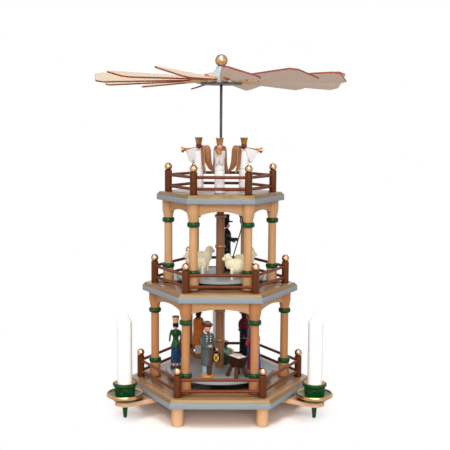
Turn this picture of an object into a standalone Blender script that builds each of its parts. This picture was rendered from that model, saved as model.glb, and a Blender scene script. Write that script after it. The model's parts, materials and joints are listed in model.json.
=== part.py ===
"""A three-tier candle carousel: warm air from three candles turns a bladed impeller, whose steel shaft
carries two turntables with carved figures between the boards of a six-sided wooden tower.

Metres, +Z up. The origin is on the shaft's axis, on the surface that the legs stand on, and the front
is -Y. Six-sided parts have their corners at 0, 60 ... 300 degrees, so a flat side faces the front.
"""

import math
from dataclasses import dataclass

import bmesh
import bpy
from mathutils import Matrix, Vector

SIDES = 6
FULL_TURN = 2 * math.pi
CORNER_ANGLES = [FULL_TURN * side / SIDES for side in range(SIDES)]
ARM_ANGLES = [math.radians(degrees) for degrees in (-150, -30, 90)]

# Clearances, and how far joined shapes and cutters run past a face
SEAT_GAP = 0.0003
SHAFT_RUN_GAP = 0.0008
COLUMN_HEADROOM = 0.0014
BITE = 0.0012
WELD = 1e-7
BEAD_FLAT_SHARE = 0.4

# Storeys, from the base board up: each board's corners, the setback of its railing posts, and the pillars,
# turntable and height of the storey on it
BASE_CORNER_RADIUS = 0.1124
BASE_POST_SETBACK = 0.0164
LOWER_PILLAR_SETBACK = 0.0340
LOWER_TABLE_CLEARANCE = 0.0073
LOWER_TABLE_RISE = 0.0078
LOWER_STOREY_HEIGHT = 0.1065
MIDDLE_CORNER_RADIUS = 0.0936
MIDDLE_POST_SETBACK = 0.0149
UPPER_PILLAR_SETBACK = 0.0314
UPPER_TABLE_CLEARANCE = 0.0034
UPPER_TABLE_RISE = 0.0062
UPPER_STOREY_HEIGHT = 0.0998
TOP_CORNER_RADIUS = 0.0763
TOP_POST_SETBACK = 0.0140

# Boards and legs
BOARD_SIDE_HEIGHT = 0.0062
BOARD_CHAMFER = 0.0036
BOARD_HEIGHT = BOARD_SIDE_HEIGHT + BOARD_CHAMFER
LEG_HEIGHT = 0.0233
LEG_RADIUS = 0.0070
LEG_FOOT_CHAMFER = 0.0008

# Pillars and the arch panels between them
PILLAR_FOOT_RADIUS = 0.00635
PILLAR_FOOT_HEIGHT = 0.0172
PILLAR_SHAFT_RADIUS = 0.0048
PILLAR_NECK_RADIUS = 0.0053
PILLAR_CAPITAL_RADIUS = 0.0072
PILLAR_CAPITAL_FLARE = 0.0095
RING_RADIUS = 0.0074
RING_HEIGHT = 0.0060
LOWER_RING_RISE = 0.0203
UPPER_RING_DROP = 0.0238
ARCH_THICKNESS = 0.0030
ARCH_END_DEPTH = 0.0158
ARCH_CROWN_DEPTH = 0.0093
ARCH_TENON_INSET = 0.0036

# Railings
POST_RADIUS = 0.0043
POST_HEIGHT = 0.0252
POST_NECK_RADIUS = 0.0024
POST_BALL_RADIUS = 0.0045
POST_BALL_RISE = 0.0291
RAIL_RADIUS = 0.0018
RAIL_RISES = (0.0062, 0.0193)

# Shaft and its thrust bearing
SHAFT_RADIUS = 0.0016
SHAFT_TIP_LENGTH = 0.0032
BEARING_RADIUS = 0.0070
BEARING_HEIGHT = 0.0058
BEARING_POCKET_DEPTH = 0.0048
BEARING_DIMPLE_RADIUS = 0.0032
BEARING_DIMPLE_DEPTH = 0.0026

# Turntables and the turned columns on them
TABLE_THICKNESS = 0.0034
TABLE_EDGE_CHAMFER = 0.0006
COLUMN_RADIUS = 0.0051
COLUMN_BEAD_RADIUS = 0.00635
COLUMN_BEAD_RISE = 0.0340
COLUMN_BEAD_HEIGHT = 0.0044
COLUMN_CAP_RADIUS = 0.00695
COLUMN_CAP_RISE = 0.0706
COLUMN_CAP_HEIGHT = 0.0042
COLUMN_NECK_RADIUS = 0.00455

# Impeller, from the height of the blades' axis
IMPELLER_RISE = 0.1320
HUB_DROP = 0.0064
HUB_FLANGE_RADIUS = 0.0245
HUB_FLANGE_HEIGHT = 0.0022
HUB_BODY_RADIUS = 0.0216
HUB_SHOULDER_RADIUS = 0.0160
HUB_SHOULDER_RISE = 0.0070
HUB_NECK_RADIUS = 0.0056
HUB_NECK_RISE = 0.0148
HUB_COVE_STEPS = 3
HUB_BORE_RISE = 0.0090
FINIAL_RADIUS = 0.0073
FINIAL_FLAT_RADIUS = 0.0032
BLADE_COUNT = 12
FIRST_BLADE_ANGLE = math.radians(-82)
BLADE_PITCHES = [math.radians(degrees) for degrees in (16, 14, 13, 27, 20, 19, 17, 15, 17, 17, 11, 17)]
BLADE_THICKNESS = 0.0018
BLADE_ROOT_REACH = 0.0290
BLADE_ROOT_WIDTH = 0.0130
BLADE_SHOULDER_REACH = 0.1380
BLADE_SHOULDER_WIDTH = 0.0420
BLADE_TIP_REACH = 0.1465
BLADE_TIP_WIDTH = 0.0314
PEG_RADIUS = 0.0040
PEG_END_REACH = 0.0460
PEG_SHOULDER_GAP = 0.0004
TENON_RADIUS = 0.0022
TENON_START_REACH = 0.0125

# Candle arms, cups and candles
ARM_THICKNESS = 0.0052
ARM_WIDTH = 0.0234
ARM_INNER_REACH = 0.0560
CUP_OVERHANG = 0.0284
PEGTAIL_LENGTH = 0.0157
PEGTAIL_TOP_RADIUS = 0.0034
PEGTAIL_TIP_RADIUS = 0.0017
SAUCER_FOOT_RADIUS = 0.0128
SAUCER_RADIUS = 0.0214
SAUCER_HEIGHT = 0.0090
SAUCER_RIM = 0.0014
SAUCER_RIM_HEIGHT = 0.0038
SAUCER_FLOOR = 0.0060
CUP_FOOT_RADIUS = 0.0110
CUP_NECK_RADIUS = 0.0122
CUP_LIP_RADIUS = 0.0140
CUP_LIP_HEIGHT = 0.0030
CUP_HEIGHT = 0.0212
SOCKET_DEPTH = 0.0141
CANDLE_RADIUS = 0.0085
CANDLE_SHOULDER = 0.0840
CANDLE_TIP_RADIUS = 0.0018
CANDLE_TAPER_SHARE = 0.6
CANDLE_HEIGHT = 0.0945
WICK_RADIUS = 0.0007
WICK_LENGTH = 0.0018

# Figures: each stands on its base at the given place, and faces the front at a turn of zero
FIGURE_SEGMENTS = 8
FIGURE_HEIGHT = 0.0650
FIGURE_GIRTH = 0.0070
KNEELING_HEIGHT = 0.0360
SHEPHERD_HEIGHT = 0.0700
ANGEL_HEIGHT = 0.0640
ANGEL_GIRTH = 0.0060
ANGEL_CIRCLE = 0.0315
ANGEL_ANGLES = [math.radians(degrees) for degrees in (-93, 27, 147)]
WING_THICKNESS = 0.0016
WING_SWEEP = math.radians(18)
SHEEP_LENGTH = 0.0290
SHEEP_HEIGHT = 0.0300
MANGER_WIDTH = 0.0220
MANGER_DEPTH = 0.0138
MANGER_HEIGHT = 0.0250

# Colour, roughness and metallic value of each finish
FINISHES = {
    "board_brown": ((0.42, 0.25, 0.13), 0.25, 0.0),
    "beech": ((0.72, 0.45, 0.25), 0.45, 0.0),
    "beech_light": ((0.76, 0.56, 0.34), 0.50, 0.0),
    "rail_brown": ((0.16, 0.05, 0.025), 0.35, 0.0),
    "table_grey": ((0.30, 0.32, 0.34), 0.40, 0.0),
    "green": ((0.01, 0.10, 0.03), 0.20, 0.0),
    "steel": ((0.45, 0.45, 0.45), 0.30, 1.0),
    "glass": ((0.60, 0.75, 0.72), 0.10, 0.0),
    "hub_grey": ((0.42, 0.48, 0.52), 0.40, 0.0),
    "gold": ((0.80, 0.45, 0.20), 0.15, 1.0),
    "veneer": ((0.78, 0.60, 0.47), 0.55, 0.0),
    "wax": ((0.92, 0.90, 0.86), 0.40, 0.0),
    "angel_white": ((0.85, 0.84, 0.82), 0.35, 0.0),
    "coat_grey": ((0.14, 0.16, 0.17), 0.55, 0.0),
    "coat_green": ((0.03, 0.12, 0.03), 0.50, 0.0),
    "coat_orange": ((0.50, 0.18, 0.03), 0.55, 0.0),
    "robe_blue": ((0.02, 0.13, 0.45), 0.50, 0.0),
    "cape_red": ((0.14, 0.01, 0.02), 0.50, 0.0),
    "coat_black": ((0.015, 0.02, 0.015), 0.45, 0.0),
    "manger_brown": ((0.07, 0.03, 0.015), 0.60, 0.0),
    "wool": ((0.70, 0.65, 0.42), 0.90, 0.0),
}


@dataclass
class Tier:
    """A hexagonal board with its railing, and the storey of pillars and the turntable that stand on it."""

    name: str
    corner_radius: float
    post_setback: float
    underside: float
    pillar_setback: float = 0
    table_clearance: float = 0
    table_rise: float = 0
    storey: float = 0

    @property
    def top(self):
        return self.underside + BOARD_HEIGHT

    @property
    def ceiling(self):
        return self.top + self.storey

    @property
    def post_circle(self):
        return self.corner_radius - self.post_setback

    @property
    def pillar_circle(self):
        return self.corner_radius - self.pillar_setback

    @property
    def table_radius(self):
        return self.pillar_circle - PILLAR_FOOT_RADIUS - self.table_clearance

    @property
    def table_underside(self):
        return self.top + self.table_rise

    @property
    def table_top(self):
        return self.table_underside + TABLE_THICKNESS


LOWER = Tier(
    "base",
    BASE_CORNER_RADIUS,
    BASE_POST_SETBACK,
    LEG_HEIGHT,
    LOWER_PILLAR_SETBACK,
    LOWER_TABLE_CLEARANCE,
    LOWER_TABLE_RISE,
    LOWER_STOREY_HEIGHT,
)
MIDDLE = Tier(
    "middle",
    MIDDLE_CORNER_RADIUS,
    MIDDLE_POST_SETBACK,
    LOWER.ceiling,
    UPPER_PILLAR_SETBACK,
    UPPER_TABLE_CLEARANCE,
    UPPER_TABLE_RISE,
    UPPER_STOREY_HEIGHT,
)
UPPER = Tier("top", TOP_CORNER_RADIUS, TOP_POST_SETBACK, MIDDLE.ceiling)
BLADE_AXIS_HEIGHT = UPPER.top + IMPELLER_RISE


def clear_scene():
    for leftover in list(bpy.data.objects):
        bpy.data.objects.remove(leftover)


def finish_material(name):
    if name in bpy.data.materials:
        return bpy.data.materials[name]
    colour, roughness, metallic = FINISHES[name]
    material = bpy.data.materials.new(name)
    material.use_nodes = True
    shader = material.node_tree.nodes["Principled BSDF"]
    shader.inputs["Base Color"].default_value = (*colour, 1)
    shader.inputs["Roughness"].default_value = roughness
    shader.inputs["Metallic"].default_value = metallic
    return material


def object_from(name, shape):
    """Turn a bmesh into a linked object whose faces point out."""
    shape.normal_update()
    bmesh.ops.recalc_face_normals(shape, faces=shape.faces)
    mesh = bpy.data.meshes.new(name)
    shape.to_mesh(mesh)
    shape.free()
    made = bpy.data.objects.new(name, mesh)
    bpy.context.scene.collection.objects.link(made)
    return made


def turned(name, profile, segments):
    """Spin (radius, height) points about Z. A profile that leaves the axis is closed into a ring."""
    shape = bmesh.new()
    points = [shape.verts.new((radius, 0, height)) for radius, height in profile]
    edges = [shape.edges.new(pair) for pair in zip(points, points[1:])]
    if profile[0][0] > 0:
        edges.append(shape.edges.new((points[-1], points[0])))
    swept = points + edges
    upwards, centre = (0, 0, 1), (0, 0, 0)
    bmesh.ops.spin(
        shape, geom=swept, axis=upwards, cent=centre, angle=FULL_TURN, steps=segments, use_merge=True
    )
    bmesh.ops.remove_doubles(shape, verts=shape.verts, dist=WELD)
    return object_from(name, shape)


def plate(name, outline, thickness):
    """Extrude an (x, y) outline in Z, with half the thickness on each side of z = 0."""
    shape = bmesh.new()
    face = shape.faces.new([shape.verts.new((x, y, -thickness / 2)) for x, y in outline])
    extruded = bmesh.ops.extrude_face_region(shape, geom=[face])["geom"]
    moved = [item for item in extruded if isinstance(item, bmesh.types.BMVert)]
    bmesh.ops.translate(shape, verts=moved, vec=(0, 0, thickness))
    return object_from(name, shape)


def rod(name, start, end, start_radius, end_radius, segments):
    """A round bar, tapered if its radii differ, from one point to another."""
    start, end = Vector(start), Vector(end)
    length = (end - start).length
    shape = bmesh.new()
    bmesh.ops.create_cone(
        shape, cap_ends=True, segments=segments, radius1=start_radius, radius2=end_radius, depth=length
    )
    turn = Vector((0, 0, 1)).rotation_difference(end - start).to_matrix().to_4x4()
    shape.transform(Matrix.Translation((start + end) / 2) @ turn)
    return object_from(name, shape)


def ball(name, centre, radii, segments):
    """An ellipsoid with its poles on Z."""
    shape = bmesh.new()
    bmesh.ops.create_uvsphere(shape, u_segments=segments, v_segments=segments // 2 + 1, radius=1)
    shape.transform(Matrix.Translation(centre) @ Matrix.Diagonal((*radii, 1)))
    return object_from(name, shape)


def box(name, low, high):
    low, high = Vector(low), Vector(high)
    shape = bmesh.new()
    bmesh.ops.create_cube(shape, size=1)
    shape.transform(Matrix.Translation((low + high) / 2) @ Matrix.Diagonal((*(high - low), 1)))
    return object_from(name, shape)


def moved(made, matrix):
    """Move a shape's mesh, so that its object stays at the origin."""
    made.data.transform(matrix)
    return made


def turned_about_z(angle):
    return Matrix.Rotation(angle, 4, "Z")


def combined(target, tools, operation):
    """Apply one Boolean for each tool, and remove the tools."""
    for tool in tools:
        modifier = target.modifiers.new(operation.title(), "BOOLEAN")
        modifier.operation = operation
        modifier.object = tool
    evaluated = target.evaluated_get(bpy.context.evaluated_depsgraph_get())
    result = bpy.data.meshes.new_from_object(evaluated)
    target.modifiers.clear()
    target.data = result
    for tool in tools:
        bpy.data.objects.remove(tool)
    return target


def fused(target, tools):
    return combined(target, tools, "UNION")


def cut(target, tools):
    return combined(target, tools, "DIFFERENCE")


def finished(made, name, finish, parent=None):
    """Name a piece, give it its finish and shading, and hang it from its parent."""
    made.name = name
    made.data.name = name
    made.data.materials.clear()
    made.data.materials.append(finish_material(finish))
    made.data.shade_smooth()
    made.data.set_sharp_from_angle(angle=math.radians(35))
    made.parent = parent
    return made


def copy_of(made, name, location, angle):
    """Another object with the same mesh, at its own place."""
    twin = made.copy()
    twin.name = name
    bpy.context.scene.collection.objects.link(twin)
    twin.location = location
    twin.rotation_euler = (0, 0, angle)
    return twin


def on_circle(radius, angle, height):
    return (radius * math.cos(angle), radius * math.sin(angle), height)


def arc(centre, radius, first, last, steps):
    """Points of a circular arc between two angles in degrees, ends included."""
    sweep = [math.radians(first + (last - first) * step / steps) for step in range(steps + 1)]
    return [(centre[0] + radius * math.cos(angle), centre[1] + radius * math.sin(angle)) for angle in sweep]


def bead(radius, inner_radius, height, middle):
    """The profile of a rounded ring around a turned piece, from its lower to its upper end."""
    half, half_flat = height / 2, height * BEAD_FLAT_SHARE / 2
    rounded = [(radius, middle - half_flat), (radius, middle + half_flat)]
    return [(inner_radius, middle - half), *rounded, (inner_radius, middle + half)]


def arch_outline(span):
    """The panel between two pillars: flat above, where it enters the board, and arched below."""
    half = span / 2
    rise = ARCH_END_DEPTH - ARCH_CROWN_DEPTH
    radius = (half**2 + rise**2) / (2 * rise)
    sweep = math.degrees(math.asin(half / radius))
    underside = arc((0, -ARCH_CROWN_DEPTH - radius), radius, 90 + sweep, 90 - sweep, 6)
    return [(half, BITE), (-half, BITE), *underside]


def hexagonal_board(tier):
    top_corner = tier.corner_radius - BOARD_CHAMFER
    outline = [(0, 0), (tier.corner_radius, 0), (tier.corner_radius, BOARD_SIDE_HEIGHT)]
    board = turned("board", [*outline, (top_corner, BOARD_HEIGHT), (0, BOARD_HEIGHT)], SIDES)
    return moved(board, Matrix.Translation((0, 0, tier.underside)))


def arch_panels(tier, underside):
    """Six panels under a board, on the lines between the pillars of the storey below."""
    axes = [Vector(on_circle(tier.pillar_circle, angle, 0)) for angle in CORNER_ANGLES]
    spacing = (axes[1] - axes[0]).length
    apothem = tier.pillar_circle * math.cos(FULL_TURN / SIDES / 2)
    panels = []
    for angle in CORNER_ANGLES:
        panel = plate("panel", arch_outline(spacing - 2 * ARCH_TENON_INSET), ARCH_THICKNESS)
        upright = Matrix.Rotation(math.radians(90), 4, "X")
        middle_angle = angle - FULL_TURN / SIDES / 2
        face_out = turned_about_z(middle_angle + math.radians(90))
        place = Matrix.Translation(on_circle(apothem, middle_angle, underside))
        panels.append(moved(panel, place @ face_out @ upright))
    return panels


def shaft_hole(tier, radius):
    return rod("hole", (0, 0, tier.underside - BITE), (0, 0, tier.top + BITE), radius, radius, 16)


def build_boards():
    legs = []
    for angle in CORNER_ANGLES:
        foot = LEG_RADIUS - LEG_FOOT_CHAMFER
        profile = [(0, 0), (foot, 0), (LEG_RADIUS, LEG_FOOT_CHAMFER)]
        leg = turned("leg", [*profile, (LEG_RADIUS, LEG_HEIGHT + BITE), (0, LEG_HEIGHT + BITE)], 8)
        legs.append(moved(leg, Matrix.Translation(on_circle(LOWER.post_circle, angle, 0))))
    pocket_floor = LOWER.top - BEARING_POCKET_DEPTH
    pocket_radius = BEARING_RADIUS + SEAT_GAP
    pocket = rod("pocket", (0, 0, pocket_floor), (0, 0, LOWER.top + BITE), pocket_radius, pocket_radius, 16)
    base = cut(fused(hexagonal_board(LOWER), legs), [pocket])
    finished(base, "base_board", "board_brown")
    for board_tier, storey_below in ((MIDDLE, LOWER), (UPPER, MIDDLE)):
        board = fused(hexagonal_board(board_tier), arch_panels(storey_below, board_tier.underside))
        cut(board, [shaft_hole(board_tier, SHAFT_RADIUS + SHAFT_RUN_GAP)])
        finished(board, board_tier.name + "_board", "board_brown")


def pillar_profile(height):
    upper_ring = height - UPPER_RING_DROP
    ring = bead(RING_RADIUS, PILLAR_SHAFT_RADIUS, RING_HEIGHT, LOWER_RING_RISE)
    top_ring = bead(RING_RADIUS, PILLAR_NECK_RADIUS, RING_HEIGHT, upper_ring)
    top_ring[0] = (PILLAR_SHAFT_RADIUS, top_ring[0][1])
    return [
        (0, 0),
        (PILLAR_FOOT_RADIUS, 0),
        (PILLAR_FOOT_RADIUS, PILLAR_FOOT_HEIGHT),
        *ring[1:],
        *top_ring,
        (PILLAR_CAPITAL_RADIUS, upper_ring + RING_HEIGHT / 2 + PILLAR_CAPITAL_FLARE),
        (PILLAR_CAPITAL_RADIUS, height),
        (0, height),
    ]


def panel_slot(height, direction):
    """The cut in a capital that takes the end of one arch panel."""
    inner = ARCH_TENON_INSET - SEAT_GAP
    half_width = ARCH_THICKNESS / 2 + SEAT_GAP
    low = (inner, -half_width, height - ARCH_END_DEPTH - SEAT_GAP * 2)
    slot = box("slot", low, (PILLAR_CAPITAL_RADIUS + BITE, half_width, height + BITE))
    return moved(slot, turned_about_z(direction))


def build_pillars():
    towards_neighbours = (math.radians(120), math.radians(-120))
    for tier, storey_name in ((LOWER, "lower"), (MIDDLE, "upper")):
        height = tier.storey - 2 * SEAT_GAP
        pillar = turned("pillar", pillar_profile(height), 8)
        cut(pillar, [panel_slot(height, direction) for direction in towards_neighbours])
        finished(pillar, "pillar", "beech")
        for number, angle in enumerate(CORNER_ANGLES, 1):
            place = on_circle(tier.pillar_circle, angle, tier.top + SEAT_GAP)
            copy_of(pillar, f"{storey_name}_pillar_{number}", place, angle)
        bpy.data.objects.remove(pillar)


def railing_post():
    neck_top = POST_BALL_RISE - math.sqrt(POST_BALL_RADIUS**2 - POST_NECK_RADIUS**2)
    shank = [(0, 0), (POST_RADIUS, 0), (POST_RADIUS, POST_HEIGHT), (POST_NECK_RADIUS, neck_top)]
    ball_profile = arc((0, POST_BALL_RISE), POST_BALL_RADIUS, -24, 50, 2)
    return turned("post", [*shank, *ball_profile, (0, POST_BALL_RISE + POST_BALL_RADIUS)], 6)


def build_railings():
    for tier in (LOWER, MIDDLE, UPPER):
        floor = tier.top + SEAT_GAP
        pieces = []
        for angle in CORNER_ANGLES:
            place = Matrix.Translation(on_circle(tier.post_circle, angle, floor))
            pieces.append(moved(railing_post(), place @ turned_about_z(angle)))
            for rise in RAIL_RISES:
                start = on_circle(tier.post_circle, angle, floor + rise)
                end = on_circle(tier.post_circle, angle + FULL_TURN / SIDES, floor + rise)
                pieces.append(rod("rail", start, end, RAIL_RADIUS, RAIL_RADIUS, 5))
        finished(fused(pieces[0], pieces[1:]), tier.name + "_railing", "rail_brown")


def bearing_floor():
    return LOWER.top - BEARING_POCKET_DEPTH + SEAT_GAP


def build_bearing():
    side = [(0, 0), (BEARING_RADIUS, 0), (BEARING_RADIUS, BEARING_HEIGHT)]
    dimple = [(BEARING_DIMPLE_RADIUS, BEARING_HEIGHT), (0, BEARING_HEIGHT - BEARING_DIMPLE_DEPTH)]
    bearing = turned("bearing", side + dimple, 16)
    finished(moved(bearing, Matrix.Translation((0, 0, bearing_floor()))), "bearing_cup", "glass")


def build_shaft(rotor):
    bottom = bearing_floor() + BEARING_HEIGHT - BEARING_DIMPLE_DEPTH + SEAT_GAP
    top = BLADE_AXIS_HEIGHT + HUB_BORE_RISE
    profile = [(0, bottom), (SHAFT_RADIUS, bottom + SHAFT_TIP_LENGTH), (SHAFT_RADIUS, top), (0, top)]
    finished(turned("shaft", profile, 8), "shaft", "steel", rotor)


def column_profile(length):
    """The turned column over a turntable, from inside the disc up to just under the next board."""
    beading = bead(COLUMN_BEAD_RADIUS, COLUMN_RADIUS, COLUMN_BEAD_HEIGHT, COLUMN_BEAD_RISE)
    cap = bead(COLUMN_CAP_RADIUS, COLUMN_RADIUS, COLUMN_CAP_HEIGHT, COLUMN_CAP_RISE)
    cap[-1] = (COLUMN_NECK_RADIUS, cap[-1][1])
    return [(0, -BITE), (COLUMN_RADIUS, -BITE), *beading, *cap, (COLUMN_NECK_RADIUS, length), (0, length)]


def build_turntable(tier, name, rotor):
    edge = TABLE_EDGE_CHAMFER
    radius = tier.table_radius
    side = [(radius, 0), (radius, TABLE_THICKNESS - edge), (radius - edge, TABLE_THICKNESS)]
    disc = turned("disc", [(0, 0), *side, (0, TABLE_THICKNESS)], 28)
    moved(disc, Matrix.Translation((0, 0, tier.table_underside)))
    length = tier.ceiling - COLUMN_HEADROOM - tier.table_top
    column = moved(turned("column", column_profile(length), 10), Matrix.Translation((0, 0, tier.table_top)))
    bore_radius = SHAFT_RADIUS + SEAT_GAP
    bore = rod("bore", (0, 0, tier.top), (0, 0, tier.ceiling), bore_radius, bore_radius, 8)
    finished(cut(fused(disc, [column]), [bore]), name, "table_grey", rotor)


def hub_profile():
    """A flat flange, a drum that takes the pegs, and a cove that runs up to the neck under the ball."""
    run = HUB_SHOULDER_RADIUS - HUB_NECK_RADIUS
    rise = HUB_NECK_RISE - HUB_SHOULDER_RISE
    cove = []
    for step in range(1, HUB_COVE_STEPS + 1):
        angle = math.radians(90) * step / HUB_COVE_STEPS
        level = HUB_SHOULDER_RISE + rise * (1 - math.cos(angle))
        cove.append((HUB_SHOULDER_RADIUS - run * math.sin(angle), level))
    flange_top = HUB_FLANGE_HEIGHT - HUB_DROP
    return [
        (0, -HUB_DROP),
        (HUB_FLANGE_RADIUS, -HUB_DROP),
        (HUB_FLANGE_RADIUS, flange_top),
        (HUB_BODY_RADIUS, flange_top),
        (HUB_BODY_RADIUS, PEG_RADIUS / 2),
        (HUB_SHOULDER_RADIUS, HUB_SHOULDER_RISE),
        *cove,
        (0, HUB_NECK_RISE),
    ]


def blade_angles():
    return [FIRST_BLADE_ANGLE + FULL_TURN * number / BLADE_COUNT for number in range(BLADE_COUNT)]


def build_hub(rotor):
    """The hub's own frame has its height zero on the blades' axis."""
    hub = turned("hub", hub_profile(), 20)
    hole_radius = TENON_RADIUS + SEAT_GAP
    holes = []
    for angle in blade_angles():
        inner = on_circle(TENON_START_REACH - SEAT_GAP, angle, 0)
        outer = on_circle(HUB_FLANGE_RADIUS + BITE, angle, 0)
        holes.append(rod("hole", inner, outer, hole_radius, hole_radius, 8))
    bore_radius = SHAFT_RADIUS + SEAT_GAP
    bore_top = HUB_BORE_RISE + SEAT_GAP
    holes.append(rod("bore", (0, 0, -HUB_DROP - BITE), (0, 0, bore_top), bore_radius, bore_radius, 8))
    moved(cut(hub, holes), Matrix.Translation((0, 0, BLADE_AXIS_HEIGHT)))
    finished(hub, "impeller_hub", "hub_grey", rotor)


def build_finial(rotor):
    seat = BLADE_AXIS_HEIGHT + HUB_NECK_RISE + SEAT_GAP
    flat_drop = math.sqrt(FINIAL_RADIUS**2 - FINIAL_FLAT_RADIUS**2)
    first = -math.degrees(math.acos(FINIAL_FLAT_RADIUS / FINIAL_RADIUS))
    round_side = arc((0, seat + flat_drop), FINIAL_RADIUS, first, 68, 5)
    finial = turned("finial", [(0, seat), *round_side, (0, seat + flat_drop + FINIAL_RADIUS)], 12)
    finished(finial, "finial_ball", "gold", rotor)


def blade_outline():
    """A paddle that widens from its root to its shoulders, with the corners of the tip cut off."""
    upper = [
        (BLADE_ROOT_REACH, BLADE_ROOT_WIDTH / 2),
        (BLADE_SHOULDER_REACH, BLADE_SHOULDER_WIDTH / 2),
        (BLADE_TIP_REACH, BLADE_TIP_WIDTH / 2),
    ]
    return upper + [(reach, -across) for reach, across in reversed(upper)]


def build_blades(rotor):
    """A veneer paddle let into a round peg, whose tenon turns with friction in the hub."""
    paddle = plate("paddle", blade_outline(), BLADE_THICKNESS)
    peg_start = HUB_BODY_RADIUS + PEG_SHOULDER_GAP
    peg = rod("peg", (peg_start, 0, 0), (PEG_END_REACH, 0, 0), PEG_RADIUS, PEG_RADIUS, 7)
    tenon_end = peg_start + BITE
    tenon = rod("tenon", (TENON_START_REACH, 0, 0), (tenon_end, 0, 0), TENON_RADIUS, TENON_RADIUS, 6)
    blade = finished(fused(paddle, [peg, tenon]), "blade", "veneer")
    for number, (angle, pitch) in enumerate(zip(blade_angles(), BLADE_PITCHES), 1):
        twin = copy_of(blade, f"blade_{number:02d}", (0, 0, BLADE_AXIS_HEIGHT), 0)
        turn = turned_about_z(angle) @ Matrix.Rotation(-pitch, 4, "X")
        twin.rotation_euler = turn.to_euler()
        twin.parent = rotor
    bpy.data.objects.remove(blade)


def cup_reach():
    return LOWER.corner_radius * math.cos(FULL_TURN / SIDES / 2) + CUP_OVERHANG


def build_arms():
    """A flat bar under the base board with a round outer end, bored for the cup's tail."""
    half = ARM_WIDTH / 2
    outline = [(ARM_INNER_REACH, half), (ARM_INNER_REACH, -half), *arc((cup_reach(), 0), half, -90, 90, 10)]
    bar = plate("arm", outline, ARM_THICKNESS)
    hole_radius = PEGTAIL_TOP_RADIUS + SEAT_GAP
    ends = [(cup_reach(), 0, side * ARM_THICKNESS) for side in (-1, 1)]
    cut(bar, [rod("hole", *ends, hole_radius, hole_radius, 12)])
    finished(bar, "arm", "beech_light")
    middle = LOWER.underside - SEAT_GAP - ARM_THICKNESS / 2
    for number, angle in enumerate(ARM_ANGLES, 1):
        copy_of(bar, f"candle_arm_{number}", (0, 0, middle), angle)
    bpy.data.objects.remove(bar)


def socket_floor():
    return CUP_HEIGHT - SOCKET_DEPTH


def cup_profile():
    """Tail, saucer and socket in one turning, from the tail's tip to the socket's floor."""
    tail_bottom = -ARM_THICKNESS - PEGTAIL_LENGTH
    socket_radius = CANDLE_RADIUS + SEAT_GAP
    lip_inner = socket_radius + SEAT_GAP
    return [
        (0, tail_bottom),
        (PEGTAIL_TIP_RADIUS, tail_bottom),
        (PEGTAIL_TOP_RADIUS, -ARM_THICKNESS - SEAT_GAP),
        (PEGTAIL_TOP_RADIUS, 0),
        (SAUCER_FOOT_RADIUS, 0),
        (SAUCER_RADIUS - SAUCER_RIM / 2, SAUCER_HEIGHT - SAUCER_RIM_HEIGHT),
        (SAUCER_RADIUS, SAUCER_HEIGHT - SAUCER_RIM_HEIGHT / 2),
        (SAUCER_RADIUS - SAUCER_RIM, SAUCER_HEIGHT),
        (SAUCER_RADIUS - SAUCER_RIM * 2, SAUCER_HEIGHT - SAUCER_RIM),
        (CUP_FOOT_RADIUS, SAUCER_FLOOR),
        (CUP_NECK_RADIUS, CUP_HEIGHT - CUP_LIP_HEIGHT * 1.5),
        (CUP_LIP_RADIUS, CUP_HEIGHT - CUP_LIP_HEIGHT),
        (CUP_LIP_RADIUS, CUP_HEIGHT - CUP_LIP_HEIGHT / 3),
        (lip_inner, CUP_HEIGHT),
        (socket_radius, socket_floor()),
        (0, socket_floor()),
    ]


def build_candles():
    seat = LOWER.underside
    cup = finished(turned("cup", cup_profile(), 12), "cup", "green")
    shoulder = [(0, 0), (CANDLE_RADIUS, 0), (CANDLE_RADIUS, CANDLE_SHOULDER)]
    half_way = (CANDLE_SHOULDER + CANDLE_HEIGHT) / 2
    taper = [(CANDLE_RADIUS * CANDLE_TAPER_SHARE, half_way), (CANDLE_TIP_RADIUS, CANDLE_HEIGHT)]
    wick_top = CANDLE_HEIGHT + WICK_LENGTH
    wick = [(WICK_RADIUS, CANDLE_HEIGHT), (WICK_RADIUS, wick_top), (0, wick_top)]
    candle = finished(turned("candle", [*shoulder, *taper, *wick], 12), "candle", "wax")
    for number, angle in enumerate(ARM_ANGLES, 1):
        copy_of(cup, f"candle_cup_{number}", on_circle(cup_reach(), angle, seat), angle)
        candle_seat = seat + socket_floor() + SEAT_GAP
        copy_of(candle, f"candle_{number}", on_circle(cup_reach(), angle, candle_seat), angle)
    bpy.data.objects.remove(cup)
    bpy.data.objects.remove(candle)


# Profiles of the figures, as shares of their girth and height, from the base to the top of the head-dress
COAT_SHARES = (
    (1.06, 0.00), (1.06, 0.04), (0.55, 0.05), (0.55, 0.21), (1.00, 0.22), (0.90, 0.52), (0.98, 0.70),
    (0.72, 0.76), (0.34, 0.78), (0.56, 0.83), (0.50, 0.88), (0.86, 0.90), (0.86, 0.93), (0.54, 1.00),
)
TALL_HAT_SHARES = (
    (0.92, 0.00), (0.90, 0.14), (0.86, 0.40), (0.62, 0.52), (0.80, 0.68), (0.66, 0.73), (0.30, 0.75),
    (0.46, 0.79), (0.46, 0.84), (0.50, 0.87), (0.62, 1.00),
)
ROBE_SHARES = (
    (1.20, 0.00), (1.10, 0.20), (1.00, 0.45), (0.88, 0.66), (0.70, 0.77), (0.52, 0.80), (0.62, 0.86),
    (0.58, 0.93), (0.36, 0.98),
)
CAPE_SHARES = (
    (0.84, 0.00), (0.82, 0.04), (0.68, 0.06), (0.74, 0.60), (1.06, 0.63), (0.90, 0.73), (0.46, 0.80),
    (0.50, 0.86), (0.46, 0.90), (0.86, 0.92), (0.50, 1.00),
)
KNEELING_SHARES = ((0.95, 0.00), (0.95, 0.12), (0.84, 0.34), (0.60, 0.46))
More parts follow.
